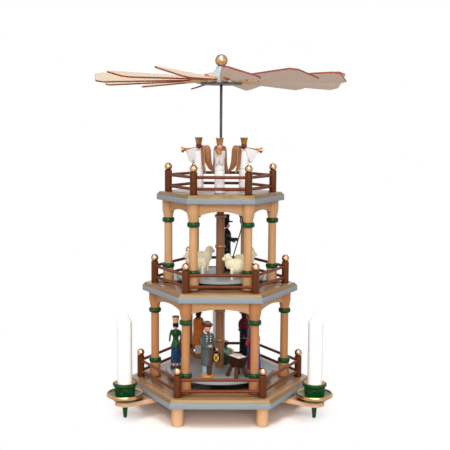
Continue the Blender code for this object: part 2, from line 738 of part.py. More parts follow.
TOP_HAT_SHARES = (
    (0.86, 0.00), (0.86, 0.03), (0.64, 0.05), (0.76, 0.30), (0.72, 0.50), (0.82, 0.66), (0.58, 0.72),
    (0.30, 0.74), (0.46, 0.78), (0.46, 0.86), (1.12, 0.87), (1.12, 0.89), (0.50, 0.90), (0.50, 1.00),
)
ANGEL_SHARES = (
    (1.00, 0.00), (0.98, 0.30), (0.78, 0.50), (0.90, 0.62), (0.72, 0.68), (0.32, 0.70), (0.52, 0.75),
    (0.50, 0.85), (0.44, 0.88), (0.74, 1.00),
)
# Arms, as shares of the figure's height: shoulder, elbow and hand, then their radii. Props have their ends
# and radii, the wing its outline, and the sheep and manger are in shares of their own sizes.
HOLDING_ARM_SHARES = (
    ((-0.085, 0, 0.70), (-0.11, -0.04, 0.57), (0.0, -0.11, 0.54)),
    (0.030, 0.028, 0.022),
)
HANGING_ARM_SHARES = (
    ((0.085, 0, 0.70), (0.12, -0.02, 0.60), (0.16, -0.05, 0.43)),
    (0.030, 0.028, 0.022),
)
SIDE_ARM_SHARES = (
    ((-0.075, 0, 0.69), (-0.115, 0, 0.62), (-0.12, -0.02, 0.50)),
    (0.026, 0.022, 0.018),
)
UNDER_FOLDED_ARM_SHARES = (
    ((-0.080, 0, 0.68), (-0.10, -0.06, 0.56), (-0.005, -0.125, 0.57)),
    (0.034, 0.030, 0.022),
)
OVER_FOLDED_ARM_SHARES = (
    ((0.080, 0, 0.68), (0.105, -0.065, 0.56), (0.012, -0.130, 0.59)),
    (0.034, 0.030, 0.022),
)
BENT_BACK_SHARES = ((0, 0.03, 0.32), (0, -0.14, 0.73), 0.150, 0.110)
BENT_HEAD_SHARES = ((0, -0.18, 0.83), (0.115, 0.115, 0.135))
REACHING_ARM_SHARES = (
    ((0.06, -0.10, 0.62), (0.08, -0.26, 0.54), (0.03, -0.39, 0.62)),
    (0.060, 0.055, 0.040),
)
CROOK_ARM_SHARES = (
    ((0.0, -0.05, 0.66), (0.01, -0.10, 0.57), (0.025, -0.205, 0.55)),
    (0.034, 0.032, 0.022),
)
NEAR_TRUMPET_ARM_SHARES = (
    ((-0.070, 0, 0.64), (-0.120, -0.09, 0.61), (-0.012, -0.18, 0.76)),
    (0.026, 0.034, 0.024),
)
FAR_TRUMPET_ARM_SHARES = (
    ((0.070, 0, 0.64), (0.125, -0.10, 0.60), (0.012, -0.24, 0.75)),
    (0.026, 0.034, 0.024),
)
STAFF_SHARES = ((-0.02, -0.098, 0.03), (0.03, -0.118, 0.60), 0.022)
LANTERN_SHARES = ((0.165, -0.05, 0.26), (0.165, -0.05, 0.44), 0.055)
CROOK_SHARES = ((0.08, -0.05, 0.0), (0.0, -0.27, 0.80), 0.011)
TRUMPET_SHARES = ((0.0, -0.050, 0.806), (0.0, -0.360, 0.752), 0.010, 0.055)
WING_SEAT_SHARE = 0.72
WING_SHARES = ((0.02, 0.76), (0.10, 0.83), (0.19, 0.75), (0.17, 0.50), (0.09, 0.28), (0.04, 0.44))
SHEEP_BODY_SHARES = ((0, 0.10, 0.55), (0.22, 0.40, 0.28))
SHEEP_NECK_SHARES = ((0, -0.20, 0.70), (0.15, 0.17, 0.23))
SHEEP_HEAD_SHARES = ((0, -0.32, 0.83), (0.13, 0.19, 0.165))
SHEEP_LEG_TRACK_SHARE = 0.10
SHEEP_LEG_PLACE_SHARES = (-0.12, 0.34)
SHEEP_LEG_TOP_SHARE = 0.45
SHEEP_LEG_RADIUS_SHARES = (0.045, 0.06)
MANGER_OUTLINE_SHARES = ((1, 1), (-1, 1), (-0.62, 0.48), (0.62, 0.48))
MANGER_CLOTH_SHARES = (0.78, 0.70, 0.07)
MANGER_LEG_SHARES = ((0.70, 1.10, 0), (0.38, 0.45, 0.62))
MANGER_LEG_RADIUS_SHARES = (0.08, 0.09)


def scaled(point, size):
    return tuple(share * size for share in point)


def stretched(point, size):
    """A point given in shares of a width, a depth and a height."""
    return tuple(share * side for share, side in zip(point, size))


def mirrored(arm_shares):
    points, radii = arm_shares
    return tuple((-x, y, z) for x, y, z in points), radii


def limb(arm_shares, height):
    """The two pieces of one arm, which meet at its elbow."""
    points = [scaled(point, height) for point in arm_shares[0]]
    radii = scaled(arm_shares[1], height)
    joints = zip(points, points[1:], radii, radii[1:])
    return [rod("sleeve", *joint, 5) for joint in joints]


def straight_prop(shares, height, segments):
    """A staff, trumpet or lantern between two points, with one radius or two."""
    start, end, *radii = shares
    radii = scaled(radii, height)
    return rod("prop", scaled(start, height), scaled(end, height), radii[0], radii[-1], segments)


def turned_figure(profile_shares, height, girth):
    profile = [(radius * girth, level * height) for radius, level in profile_shares]
    return turned("figure", [(0, 0), *profile, (0, profile[-1][1])], FIGURE_SEGMENTS)


def kneeling_figure(height, girth):
    """A kneeling figure that bends forward over its knees and holds out one hand."""
    head_centre, head_half = [scaled(share, height) for share in BENT_HEAD_SHARES]
    back = straight_prop(BENT_BACK_SHARES, height, 7)
    bent = [back, ball("head", head_centre, head_half, 7), *limb(REACHING_ARM_SHARES, height)]
    return fused(turned_figure(KNEELING_SHARES, height, girth), bent)


def wings(height):
    """Two flat feathers behind the shoulders, spread a little backwards."""
    outline = [scaled(point, height) for point in WING_SHARES]
    seat = Matrix.Translation((0, ANGEL_GIRTH * WING_SEAT_SHARE, 0))
    pair = []
    for side in (-1, 1):
        wing = plate("wing", [(side * x, z) for x, z in outline], WING_THICKNESS)
        upright = Matrix.Rotation(math.radians(90), 4, "X")
        swept = turned_about_z(side * WING_SWEEP)
        pair.append(moved(wing, seat @ swept @ upright))
    return pair


def sheep():
    """Body, neck, head and four legs; it faces -Y like the other figures."""
    size = (SHEEP_LENGTH, SHEEP_LENGTH, SHEEP_HEIGHT)
    masses = (SHEEP_BODY_SHARES, SHEEP_NECK_SHARES, SHEEP_HEAD_SHARES)
    body, neck, head = [ball("mass", *[stretched(share, size) for share in mass], 6) for mass in masses]
    legs = []
    for side in (-1, 1):
        for along in SHEEP_LEG_PLACE_SHARES:
            foot = stretched((side * SHEEP_LEG_TRACK_SHARE, along, 0), size)
            top = stretched((side * SHEEP_LEG_TRACK_SHARE, along, SHEEP_LEG_TOP_SHARE), size)
            legs.append(rod("leg", foot, top, *scaled(SHEEP_LEG_RADIUS_SHARES, SHEEP_LENGTH), 4))
    return fused(body, [neck, head, *legs])


def manger():
    """A trough with sloping sides on four splayed log legs, filled with a folded cloth."""
    half_size = (MANGER_WIDTH / 2, MANGER_DEPTH / 2, MANGER_HEIGHT)
    outline = [(x * half_size[0], z * half_size[2]) for x, z in MANGER_OUTLINE_SHARES]
    trough = moved(plate("trough", outline, MANGER_DEPTH), Matrix.Rotation(math.radians(90), 4, "X"))
    parts = [ball("cloth", (0, 0, MANGER_HEIGHT), stretched(MANGER_CLOTH_SHARES, half_size), 8)]
    for side in (-1, 1):
        for front in (-1, 1):
            mirror = (side * half_size[0], front * half_size[1], half_size[2])
            ends = [stretched(end, mirror) for end in MANGER_LEG_SHARES]
            parts.append(rod("leg", *ends, *scaled(MANGER_LEG_RADIUS_SHARES, MANGER_WIDTH), 6))
    below = box("below", (-MANGER_WIDTH, -MANGER_WIDTH, -MANGER_HEIGHT), (MANGER_WIDTH, MANGER_WIDTH, 0))
    return cut(fused(trough, parts), [below])


def stand_on(made, name, finish, floor, place, turn, parent):
    finished(made, name, finish, parent)
    made.location = (*place, floor + SEAT_GAP)
    made.rotation_euler = (0, 0, math.radians(turn))


# Where the turntables' figures stand, as shares of the turntable's radius (x, y), and their turn in degrees
LANTERN_MAN_SHARES, LANTERN_MAN_TURN = (-0.233, -0.640), 18
TALL_HAT_WOMAN_SHARES, TALL_HAT_WOMAN_TURN = (-0.820, -0.120), -10
ORANGE_MAN_SHARES, ORANGE_MAN_TURN = (-0.410, 0.690), 130
BLUE_WOMAN_SHARES, BLUE_WOMAN_TURN = (0.640, -0.140), -50
CAPE_MAN_SHARES, CAPE_MAN_TURN = (0.480, 0.690), -150
KNEELING_MAN_SHARES, KNEELING_MAN_TURN = (0.115, 0.195), 48
MANGER_PLACE_SHARES, MANGER_TURN = (0.312, -0.650), -54
SHEPHERD_PLACE_SHARES, SHEPHERD_TURN = (0.150, 0.400), 90
SHEEP_PLACES_SHARES = ((0.325, -0.680), (0.590, -0.030), (-0.580, -0.330), (-0.360, 0.440))
SHEEP_TURNS = (-90, 90, -98, 96)


def build_lower_figures(rotor):
    height, girth, floor = FIGURE_HEIGHT, FIGURE_GIRTH, LOWER.table_top

    def stand(made, name, finish, place_shares, turn):
        stand_on(made, name, finish, floor, scaled(place_shares, LOWER.table_radius), turn, rotor)

    props = [straight_prop(STAFF_SHARES, height, 6), straight_prop(LANTERN_SHARES, height, 6)]
    arms = limb(HOLDING_ARM_SHARES, height) + limb(HANGING_ARM_SHARES, height)
    man = fused(turned_figure(COAT_SHARES, height, girth), arms + props)
    stand(man, "man_with_lantern", "coat_grey", LANTERN_MAN_SHARES, LANTERN_MAN_TURN)

    arms = limb(SIDE_ARM_SHARES, height) + limb(mirrored(SIDE_ARM_SHARES), height)
    woman = fused(turned_figure(TALL_HAT_SHARES, height, girth), arms)
    stand(woman, "woman_in_tall_hat", "coat_green", TALL_HAT_WOMAN_SHARES, TALL_HAT_WOMAN_TURN)

    arms = limb(UNDER_FOLDED_ARM_SHARES, height) + limb(OVER_FOLDED_ARM_SHARES, height)
    man = fused(turned_figure(COAT_SHARES, height, girth), arms)
    stand(man, "man_in_orange_coat", "coat_orange", ORANGE_MAN_SHARES, ORANGE_MAN_TURN)

    arms = limb(UNDER_FOLDED_ARM_SHARES, height) + limb(OVER_FOLDED_ARM_SHARES, height)
    woman = fused(turned_figure(ROBE_SHARES, height, girth), arms)
    stand(woman, "woman_in_blue_robe", "robe_blue", BLUE_WOMAN_SHARES, BLUE_WOMAN_TURN)

    cape = turned_figure(CAPE_SHARES, height, girth)
    stand(cape, "man_in_red_cape", "cape_red", CAPE_MAN_SHARES, CAPE_MAN_TURN)

    kneeling = kneeling_figure(KNEELING_HEIGHT, girth)
    stand(kneeling, "kneeling_man", "coat_green", KNEELING_MAN_SHARES, KNEELING_MAN_TURN)

    stand(manger(), "manger", "manger_brown", MANGER_PLACE_SHARES, MANGER_TURN)


def build_middle_figures(rotor):
    height, radius, floor = SHEPHERD_HEIGHT, MIDDLE.table_radius, MIDDLE.table_top
    props = [*limb(CROOK_ARM_SHARES, height), straight_prop(CROOK_SHARES, height, 6)]
    shepherd = fused(turned_figure(TOP_HAT_SHARES, height, FIGURE_GIRTH), props)
    place = scaled(SHEPHERD_PLACE_SHARES, radius)
    stand_on(shepherd, "shepherd", "coat_black", floor, place, SHEPHERD_TURN, rotor)
    for number, (place_shares, turn) in enumerate(zip(SHEEP_PLACES_SHARES, SHEEP_TURNS), 1):
        stand_on(sheep(), f"sheep_{number}", "wool", floor, scaled(place_shares, radius), turn, rotor)


def build_angels():
    """Three trumpet-blowing angels that stand on the top board itself, facing outwards."""
    height = ANGEL_HEIGHT
    for number, angle in enumerate(ANGEL_ANGLES, 1):
        arms = limb(NEAR_TRUMPET_ARM_SHARES, height) + limb(FAR_TRUMPET_ARM_SHARES, height)
        props = [straight_prop(TRUMPET_SHARES, height, 6), *wings(height)]
        angel = fused(turned_figure(ANGEL_SHARES, height, ANGEL_GIRTH), arms + props)
        place = on_circle(ANGEL_CIRCLE, angle, 0)[:2]
        stand_on(angel, f"angel_{number}", "angel_white", UPPER.top, place, math.degrees(angle) + 90, None)


def build():
    clear_scene()
    rotor = bpy.data.objects.new("rotor_axis", None)
    bpy.context.scene.collection.objects.link(rotor)
    build_boards()
    build_pillars()
    build_railings()
    build_arms()
    build_candles()
    build_bearing()
    build_angels()
    build_shaft(rotor)
    build_turntable(LOWER, "lower_turntable", rotor)
    build_turntable(MIDDLE, "middle_turntable", rotor)
    build_lower_figures(rotor)
    build_middle_figures(rotor)
    build_hub(rotor)
    build_finial(rotor)
    build_blades(rotor)


build()
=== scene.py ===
"""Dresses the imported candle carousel: the shape and finish of each visible surface, the camera, the floor
and the light. Metres, in the model's own frame: +Z up, the shaft on the Z axis and the front towards -Y."""

import json
import math
from dataclasses import dataclass

import bmesh
import bpy
from mathutils import Matrix, Vector


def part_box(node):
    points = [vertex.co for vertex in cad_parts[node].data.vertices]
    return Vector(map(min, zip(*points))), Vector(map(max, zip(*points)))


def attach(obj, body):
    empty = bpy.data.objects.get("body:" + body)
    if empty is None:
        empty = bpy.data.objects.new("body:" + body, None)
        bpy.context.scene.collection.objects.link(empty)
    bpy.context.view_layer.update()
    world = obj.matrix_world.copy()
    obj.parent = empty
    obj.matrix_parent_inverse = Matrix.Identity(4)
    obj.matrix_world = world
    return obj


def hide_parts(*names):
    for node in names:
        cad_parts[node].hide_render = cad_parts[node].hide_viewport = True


SIDES = 6
FULL_TURN = 2 * math.pi
CORNER_ANGLES = [FULL_TURN * side / SIDES for side in range(SIDES)]
NOTHING = 1e-7
QUARTER_TURN = FULL_TURN / 4
HALF_SIDE = FULL_TURN / SIDES / 2
SHARP_ANGLE = math.radians(38)
FLAT_ANGLE = math.radians(5)

# Colours and the finishes' measures
BLACK = (0.0, 0.0, 0.0, 1.0)
WHITE = (1.0, 1.0, 1.0, 1.0)
GRAIN_SHIFT = 0.137
GAP_REACH = 0.012
BOARD_COAT = 0.45
# Tones of the painted shade where pieces stand close above the boards and the candle arms
BOARD_PAINTED_SHADE = (30, 19, 14)
ARM_PAINTED_SHADE = (112, 74, 52)

# Camera
CAMERA_PLACE = (-0.0102, -1.0205, 0.3355)
CAMERA_TILT = math.radians(83.471)
CAMERA_TURN = math.radians(-0.883)
CAMERA_ROLL = math.radians(0.386)
CAMERA_LENS = 68.61
CAMERA_SENSOR = 36
CAMERA_NEAREST = 0.01

# Boards, legs and arches
BOARD_THICKNESS = 0.0098
BOARD_SIDE = 0.0062
BOARD_EDGE = 0.0004
LEG_RADIUS = 0.0070
ARCH_THICKNESS = 0.0030
ARCH_END_DEPTH = 0.0158
ARCH_CROWN_DEPTH = 0.0093
ARCH_TENON_INSET = 0.0036
ARCH_EDGE = 0.0003
LEG_ROUNDING = 0.0011

# Pillars
PILLAR_FOOT_RADIUS = 0.00635
PILLAR_FOOT_HEIGHT = 0.0172
PILLAR_SHAFT_RADIUS = 0.0048
PILLAR_NECK_RADIUS = 0.0053
PILLAR_CAPITAL_RADIUS = 0.0072
PILLAR_CAPITAL_FLARE = 0.0095
RING_RADIUS = 0.0074
RING_HEIGHT = 0.0060
LOWER_RING_RISE = 0.0203
UPPER_RING_DROP = 0.0238
BEAD_SEAT = 0.0008
PILLAR_ROUNDING = 0.0012

# Railings
POST_RADIUS = 0.0043
POST_HEIGHT = 0.0252
POST_NECK_RADIUS = 0.0022
POST_BALL_RADIUS = 0.0045
POST_BALL_RISE = 0.0291
RAIL_RADIUS = 0.0018
RAIL_RISES = (0.0062, 0.0193)
POST_ROUNDING = 0.0006

# Shaft, turntables and columns
SHAFT_RADIUS = 0.0016
SHAFT_TIP_LENGTH = 0.0032
SHAFT_HOLE_RADIUS = 0.0024
BEARING_DIMPLE_RADIUS = 0.0032
BEARING_DIMPLE_DEPTH = 0.0026
BEARING_SEAT_GAP = 0.00032
BEARING_ROUNDING = 0.0007
SHAFT_ROUNDING = 0.0003
TABLE_THICKNESS = 0.0034
TABLE_EDGE = 0.0008
COLUMN_RADIUS = 0.0051
COLUMN_BEAD_RADIUS = 0.00635
COLUMN_BEAD_RISE = 0.0340
COLUMN_BEAD_HEIGHT = 0.0044
COLUMN_CAP_RADIUS = 0.00695
COLUMN_CAP_RISE = 0.0706
COLUMN_CAP_HEIGHT = 0.0042
COLUMN_NECK_RADIUS = 0.00455
COLUMN_FOOT_RADIUS = COLUMN_RADIUS * 1.12
COLUMN_FOOT_HEIGHT = COLUMN_BEAD_HEIGHT / 3
COLUMN_ROUNDING = 0.0003

# Impeller
HUB_DROP = 0.0064
HUB_FLANGE_RADIUS = 0.0245
HUB_FLANGE_HEIGHT = 0.0022
HUB_BODY_RADIUS = 0.0216
HUB_SHOULDER_RADIUS = 0.0160
HUB_SHOULDER_RISE = 0.0070
HUB_NECK_RADIUS = 0.0056
HUB_NECK_RISE = 0.0148
HUB_ROUNDING = 0.0005
HUB_COVE_STEPS = 16
FINIAL_RADIUS = 0.0073
FINIAL_FLAT_RADIUS = 0.0032
BLADES = 12
BLADE_THICKNESS = 0.0018
BLADE_EDGE = 0.0003
BLADE_CORNER = 0.0012
BLADE_ROOT_REACH = 0.0290
BLADE_ROOT_WIDTH = 0.0130
BLADE_SHOULDER_REACH = 0.1380
BLADE_SHOULDER_WIDTH = 0.0420
BLADE_TIP_REACH = 0.1465
BLADE_TIP_WIDTH = 0.0314
PEG_RADIUS = 0.0040
PEG_END_REACH = 0.0460
PEG_SHOULDER_GAP = 0.0004
PEG_ROUNDING = 0.0005

# Candle arms, cups and candles
CANDLES = (1, 2, 3)
ARM_INNER_REACH = 0.0560
ARM_THICKNESS = 0.0052
ARM_WIDTH = 0.0234
ARM_EDGE = 0.0007
PEGTAIL_LENGTH = 0.0157
PEGTAIL_TOP_RADIUS = 0.0034
PEGTAIL_TIP_RADIUS = 0.0020
PEGTAIL_ROUNDING = 0.0018
SAUCER_FOOT_RADIUS = 0.0128
SAUCER_RADIUS = 0.0214
SAUCER_HEIGHT = 0.0090
SAUCER_RIM_WIDTH = 0.0028
SAUCER_RIM_HEIGHT = 0.0040
SAUCER_FLOOR = 0.0056
SAUCER_ROUNDING = 0.0008
CUP_FOOT_RADIUS = 0.0110
CUP_NECK_RADIUS = 0.0122
CUP_LIP_RADIUS = 0.0140
CUP_LIP_HEIGHT = 0.0034
CUP_HEIGHT = 0.0212
CUP_MOUTH_RADIUS = 0.0112
CUP_ROUNDING = 0.0009
SOCKET_DEPTH = 0.0141
CANDLE_RADIUS = 0.0085
CANDLE_SHOULDER = 0.0840
CANDLE_HEIGHT = 0.0945
CANDLE_TIP_RADIUS = 0.0018
CANDLE_ROUNDING = 0.0011
SOCKET_MOUTH_RADIUS = CANDLE_RADIUS * 1.06
SOCKET_FLOOR_RADIUS = CANDLE_RADIUS * 1.03
WICK_RADIUS = 0.0006

# Where the figures stand: shares of their turntable's radius, and a turn in degrees away from the front
STANDING_GAP = 0.0003
FIGURE_PLACES = {
    "man_with_lantern": ((-0.233, -0.640), 18),
    "woman_in_tall_hat": ((-0.820, -0.120), -10),
    "man_in_orange_coat": ((-0.410, 0.690), 130),
    "woman_in_blue_robe": ((0.640, -0.140), -50),
    "man_in_red_cape": ((0.480, 0.690), -150),
    "kneeling_man": ((0.115, 0.195), 48),
    "manger": ((0.312, -0.650), -54),
    "shepherd": ((0.150, 0.400), 90),
    "sheep_1": ((0.325, -0.680), -90),
    "sheep_2": ((0.590, -0.030), 90),
    "sheep_3": ((-0.580, -0.330), -98),
    "sheep_4": ((-0.360, 0.440), 96),
}

# The painted face and the painted border of the skirt
EYE_PLACE = (0.36, -0.8184, 0.10)
CHEEK_PLACE = (0.50, -0.7176, -0.28)
BORDER_DIAMONDS = 9
BORDER_LOW = 0.0046
BORDER_HIGH = 0.0080

# The man's hat and lantern, as shares of the man's height
HAT_STRETCH = 1.025
LANTERN_HALF = 0.050
LANTERN_RISE = 0.076
LANTERN_BAR = 0.0065

# Manger, with its leg's places as shares of half its width, half its depth and its height
MANGER_RIM = 0.0250
MANGER_HALF_WIDTH = 0.0120
MANGER_HALF_DEPTH = 0.0076
MANGER_FLOOR_SHARE = 0.48
MANGER_TAPER_SHARE = 0.62
MANGER_LEG_SHARES = ((0.70, 1.10, 0.02), (0.38, 0.45, 0.62))
MANGER_LEG_RADIUS = 0.0023
MANGER_LEG_ROUNDING = 0.0006
CLOTH_CROWN = 0.0016
CLOTH_DROOP = 0.0012
CLOTH_THICKNESS = 0.0007
CLOTH_CREASES = (0.00032, 0.00022)

# Sheep, with the head's reach and rise as shares of the sheep's length and height
SHEEP_HEIGHT = 0.0300
SHEEP_LENGTH = 0.0290
SHEEP_HEAD_PLACE = (0.240, 0.835)
SHEEP_HEAD_PLACES = {"sheep_1": (0.300, 0.835), "sheep_4": (0.200, 0.860)}
SHEEP_EYE_RADII = (0.0007, 0.0008, 0.0009)
HOOF_ROUNDING = 0.0003
FLEECE_VOXEL = SHEEP_HEIGHT / 50
CURL_SIZE = SHEEP_HEIGHT / 54
CURL_DENSITY = 700000.0

# Angels, with their outlines as shares of an angel's height
ANGEL_ANGLES = [math.radians(degrees) for degrees in (-93, 27, 147)]
ANGEL_CIRCLE = 0.0315
WING_SWEEP = math.radians(56)
CROWN_WALL = 0.009
WING_SHARES = (
    (0.02, 0.800), (0.05, 0.838), (0.095, 0.850), (0.140, 0.825), (0.165, 0.76), (0.172, 0.66), (0.182, 0.54),
    (0.206, 0.440), (0.232, 0.375), (0.238, 0.330), (0.190, 0.355), (0.130, 0.400), (0.086, 0.465),
    (0.052, 0.55),
    (0.034, 0.65), (0.02, 0.73),
)
SLEEVE_SHARES = (
    (0.0, 0.040), (0.05, 0.050), (0.16, 0.052), (0.258, 0.036), (0.270, 0.006), (0.226, -0.088),
    (0.164, -0.180), (0.126, -0.184), (0.050, -0.100), (0.0, -0.03),
)
TRUMPET_SHARES = (
    (-0.050, 0.806, 0.009), (-0.12, 0.794, 0.009), (-0.20, 0.781, 0.012), (-0.275, 0.769, 0.019),
    (-0.330, 0.760, 0.033), (-0.360, 0.755, 0.047), (-0.374, 0.753, 0.058),
)

# Soft lamps without falloff: (azimuth and elevation in degrees, apparent size in degrees, strength)
SOFT_SUNS = {
    "key_light": (-115, 48, 20, 0.9),
    "top_light": (-85, 76, 30, 1.7),
    "front_light": (-86, 20, 36, 2.0),
}
WORLD_FILL = 0.30
FLOOR_HALF = 4.0
SHADOW_FADE = (0.100, 0.145)
SHADOW_CENTRE = (0.0, 0.012, 0.0)


@dataclass
class Tier:
    """One board with what stands on it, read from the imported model."""

    board: str
    railing: str
    storey: str = ""
    table: str = ""

    @property
    def top(self):
        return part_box(self.board)[1].z

    @property
    def underside(self):
        return self.top - BOARD_THICKNESS

    @property
    def corner_radius(self):
        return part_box(self.board)[1].x

    @property
    def post_circle(self):
        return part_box(self.railing)[1].x - POST_BALL_RADIUS

    @property
    def railing_floor(self):
        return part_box(self.railing)[0].z

    @property
    def pillars(self):
        return [f"{self.storey}_pillar_{number}" for number in range(1, SIDES + 1)]

    @property
    def pillar_circle(self):
        low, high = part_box(self.pillars[0])
        return (low.x + high.x) / 2

    @property
    def table_radius(self):
        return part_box(self.table)[1].x

    @property
    def table_top(self):
        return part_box(self.table)[0].z + TABLE_THICKNESS


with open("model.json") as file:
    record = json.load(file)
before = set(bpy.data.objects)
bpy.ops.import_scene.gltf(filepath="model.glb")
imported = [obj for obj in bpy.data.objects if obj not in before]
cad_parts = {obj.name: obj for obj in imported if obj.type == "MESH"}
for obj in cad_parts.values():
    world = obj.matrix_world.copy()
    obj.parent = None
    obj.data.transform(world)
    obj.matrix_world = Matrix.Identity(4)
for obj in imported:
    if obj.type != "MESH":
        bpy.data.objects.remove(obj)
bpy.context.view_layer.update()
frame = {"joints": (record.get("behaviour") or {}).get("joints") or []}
LOWER = Tier("base_board", "base_railing", "lower", "lower_turntable")
MIDDLE = Tier("middle_board", "middle_railing", "upper", "middle_turntable")
UPPER = Tier("top_board", "top_railing")


def tone(red, green, blue):
    """A colour as a screen shows it, from 0 to 255, turned into Blender's linear values."""
    channels = [value / 255 for value in (red, green, blue)]
    return tuple(c / 12.92 if c <= 0.04045 else ((c + 0.055) / 1.055) ** 2.4 for c in channels) + (1.0,)


class Nodes:
    """A node tree in the making: nodes are placed by type, and inputs are set or linked by name."""

    def __init__(self, tree):
        self.tree = tree

    def add(self, kind, inputs=None, **settings):
        node = self.tree.nodes.new(kind)
        for setting, value in settings.items():
            setattr(node, setting, value)
        self.fill(node.inputs, inputs or {})
        return node

    def fill(self, sockets, values):
        """Set or link sockets by name or number."""
        for key, value in values.items():
            if isinstance(value, bpy.types.NodeSocket):
                self.tree.links.new(value, sockets[key])
            else:
                sockets[key].default_value = value

    def math(self, operation, first, second=0.0):
        return self.add("ShaderNodeMath", {0: first, 1: second}, operation=operation).outputs[0]

    def times(self, first, second):
        return self.math("MULTIPLY", first, second)

    def sum(self, *values):
        total = values[0]
        for value in values[1:]:
            total = self.math("ADD", total, value)
        return total

    def noise(self, vector, scale, detail):
        settings = {"Vector": vector, "Scale": scale, "Detail": detail}
        return self.add("ShaderNodeTexNoise", settings).outputs["Fac"]

    def remap(self, value, low, high, to_low=0.0, to_high=1.0):
        settings = {"Value": value, "From Min": low, "From Max": high, "To Min": to_low, "To Max": to_high}
        return self.add("ShaderNodeMapRange", settings).outputs["Result"]

    def mix(self, factor, first, second):
        return self.add("ShaderNodeMix", {0: factor, 6: first, 7: second}, data_type="RGBA").outputs[2]

    def relief(self, height, strength, distance=0.0002):
        settings = {"Height": height, "Strength": strength, "Distance": distance}
        return self.add("ShaderNodeBump", settings).outputs["Normal"]

    def stretch(self, vector, factors):
        return self.add("ShaderNodeVectorMath", {0: vector, 1: factors}, operation="MULTIPLY").outputs[0]

    def facing(self, blend):
        return self.add("ShaderNodeLayerWeight", {"Blend": blend}).outputs["Facing"]

    def attribute(self, name):
        return self.add("ShaderNodeAttribute", attribute_name=name).outputs

    def local_place(self):
        """The place in the piece's own frame, with its length along Z, moved on for each repeated piece."""
        offset = self.times(self.attribute("piece")["Fac"], GRAIN_SHIFT)
        return self.add("ShaderNodeVectorMath", {0: self.attribute("grain")["Vector"], 1: offset}).outputs[0]


def shader_group(name, inputs):
    """An empty group that puts out colour, roughness and height: (nodes, its inputs, its outputs)."""
    group = bpy.data.node_groups.new(name, "ShaderNodeTree")
    for socket, default in inputs.items():
        kind = "NodeSocketFloat" if isinstance(default, float) else "NodeSocketColor"
        group.interface.new_socket(socket, in_out="INPUT", socket_type=kind).default_value = default
    for socket in ("Colour", "Roughness", "Height"):
        kind = "NodeSocketColor" if socket == "Colour" else "NodeSocketFloat"
        group.interface.new_socket(socket, in_out="OUTPUT", socket_type=kind)
    nodes = Nodes(group)
    return nodes, nodes.add("NodeGroupInput").outputs, nodes.add("NodeGroupOutput").inputs


def wood_grain_group():
    """Growth rings, streaks along the grain and the short dark flecks of beech."""
    inputs = {"Light": tone(222, 168, 118), "Dark": tone(190, 130, 85), "Figure": 0.5, "Roughness": 0.4}
    nodes, given, out = shader_group("wood_grain", inputs)
    place = nodes.local_place()
    slow = nodes.noise(nodes.stretch(place, (1, 1, 0.06)), scale=160, detail=2)
    streak = nodes.noise(nodes.stretch(place, (1, 1, 0.035)), scale=1500, detail=3)
    fleck = nodes.noise(nodes.stretch(place, (1, 1, 0.16)), scale=2600, detail=1)
    ring_settings = {"Scale": 90, "Distortion": 3.5, "Detail": 2, "Detail Scale": 1.2}
    ring_settings["Vector"] = nodes.stretch(place, (1, 0.6, 0.05))
    rings = nodes.add("ShaderNodeTexWave", ring_settings, bands_direction="DIAGONAL").outputs["Fac"]
    streaks = nodes.remap(streak, 0.35, 0.68)
    flecks = nodes.remap(fleck, 0.62, 0.72)
    shade = nodes.times(nodes.sum(slow, nodes.times(rings, 0.55), streaks), 0.42)
    factor = nodes.add("ShaderNodeMath", {0: shade, 1: given["Figure"]}, operation="MULTIPLY", use_clamp=True)
    plain = nodes.mix(factor.outputs[0], given["Light"], given["Dark"])
    fleck_share = nodes.times(nodes.times(flecks, 0.45), given["Figure"])
    nodes.fill(out, {
        "Colour": nodes.mix(fleck_share, plain, given["Dark"]),
        "Roughness": nodes.sum(given["Roughness"], nodes.times(nodes.math("SUBTRACT", streaks, 0.5), 0.08)),
        "Height": nodes.math("SUBTRACT", nodes.times(streaks, 0.35), flecks),
    })
    return nodes.tree


def hand_paint_group():
    """Paint on carved wood: thin and thick places, and faint brush marks that follow the grain."""
    inputs = {"Colour": tone(188, 188, 188), "Roughness": 0.4, "Mottle": 0.12}
    nodes, given, out = shader_group("hand_paint", inputs)
    place = nodes.local_place()
    patches = nodes.noise(place, scale=260, detail=3)
    brush = nodes.noise(nodes.stretch(place, (1, 1, 0.12)), scale=1900, detail=2)
    dark = nodes.mix(0.55, given["Colour"], BLACK)
    pale = nodes.mix(0.16, given["Colour"], WHITE)
    thick = nodes.times(nodes.times(nodes.remap(patches, 0.5, 0.75), given["Mottle"]), 2.0)
    thin = nodes.times(nodes.times(nodes.remap(patches, 0.5, 0.25), given["Mottle"]), 2.0)
    nodes.fill(out, {
        "Colour": nodes.mix(thin, nodes.mix(thick, given["Colour"], dark), pale),
        "Roughness": nodes.sum(given["Roughness"], nodes.times(nodes.math("SUBTRACT", patches, 0.5), 0.25)),
        "Height": nodes.sum(brush, nodes.times(patches, 0.6)),
    })
    return nodes.tree


def bronze_paint_group():
    """Metallic paint: fine flakes, with a warmer, darker tone where it pools."""
    inputs = {"Bright": tone(236, 178, 120), "Deep": tone(170, 100, 50), "Roughness": 0.2}
    nodes, given, out = shader_group("bronze_paint", inputs)
    place = nodes.local_place()
    flakes = nodes.noise(place, scale=6000, detail=1)
    pools = nodes.noise(place, scale=420, detail=3)
    nodes.fill(out, {
        "Colour": nodes.mix(nodes.remap(pools, 0.40, 0.75), given["Bright"], given["Deep"]),
        "Roughness": nodes.sum(given["Roughness"], nodes.times(flakes, 0.10)),
        "Height": nodes.times(flakes, 0.5),
    })
    return nodes.tree


def new_material(name):
    """An empty material: (material, its nodes, its shader's inputs)."""
    material = bpy.data.materials.new(name)
    material.use_nodes = True
    return material, Nodes(material.node_tree), shader_inputs(material)


def shader_inputs(material):
    return material.node_tree.nodes["Principled BSDF"].inputs


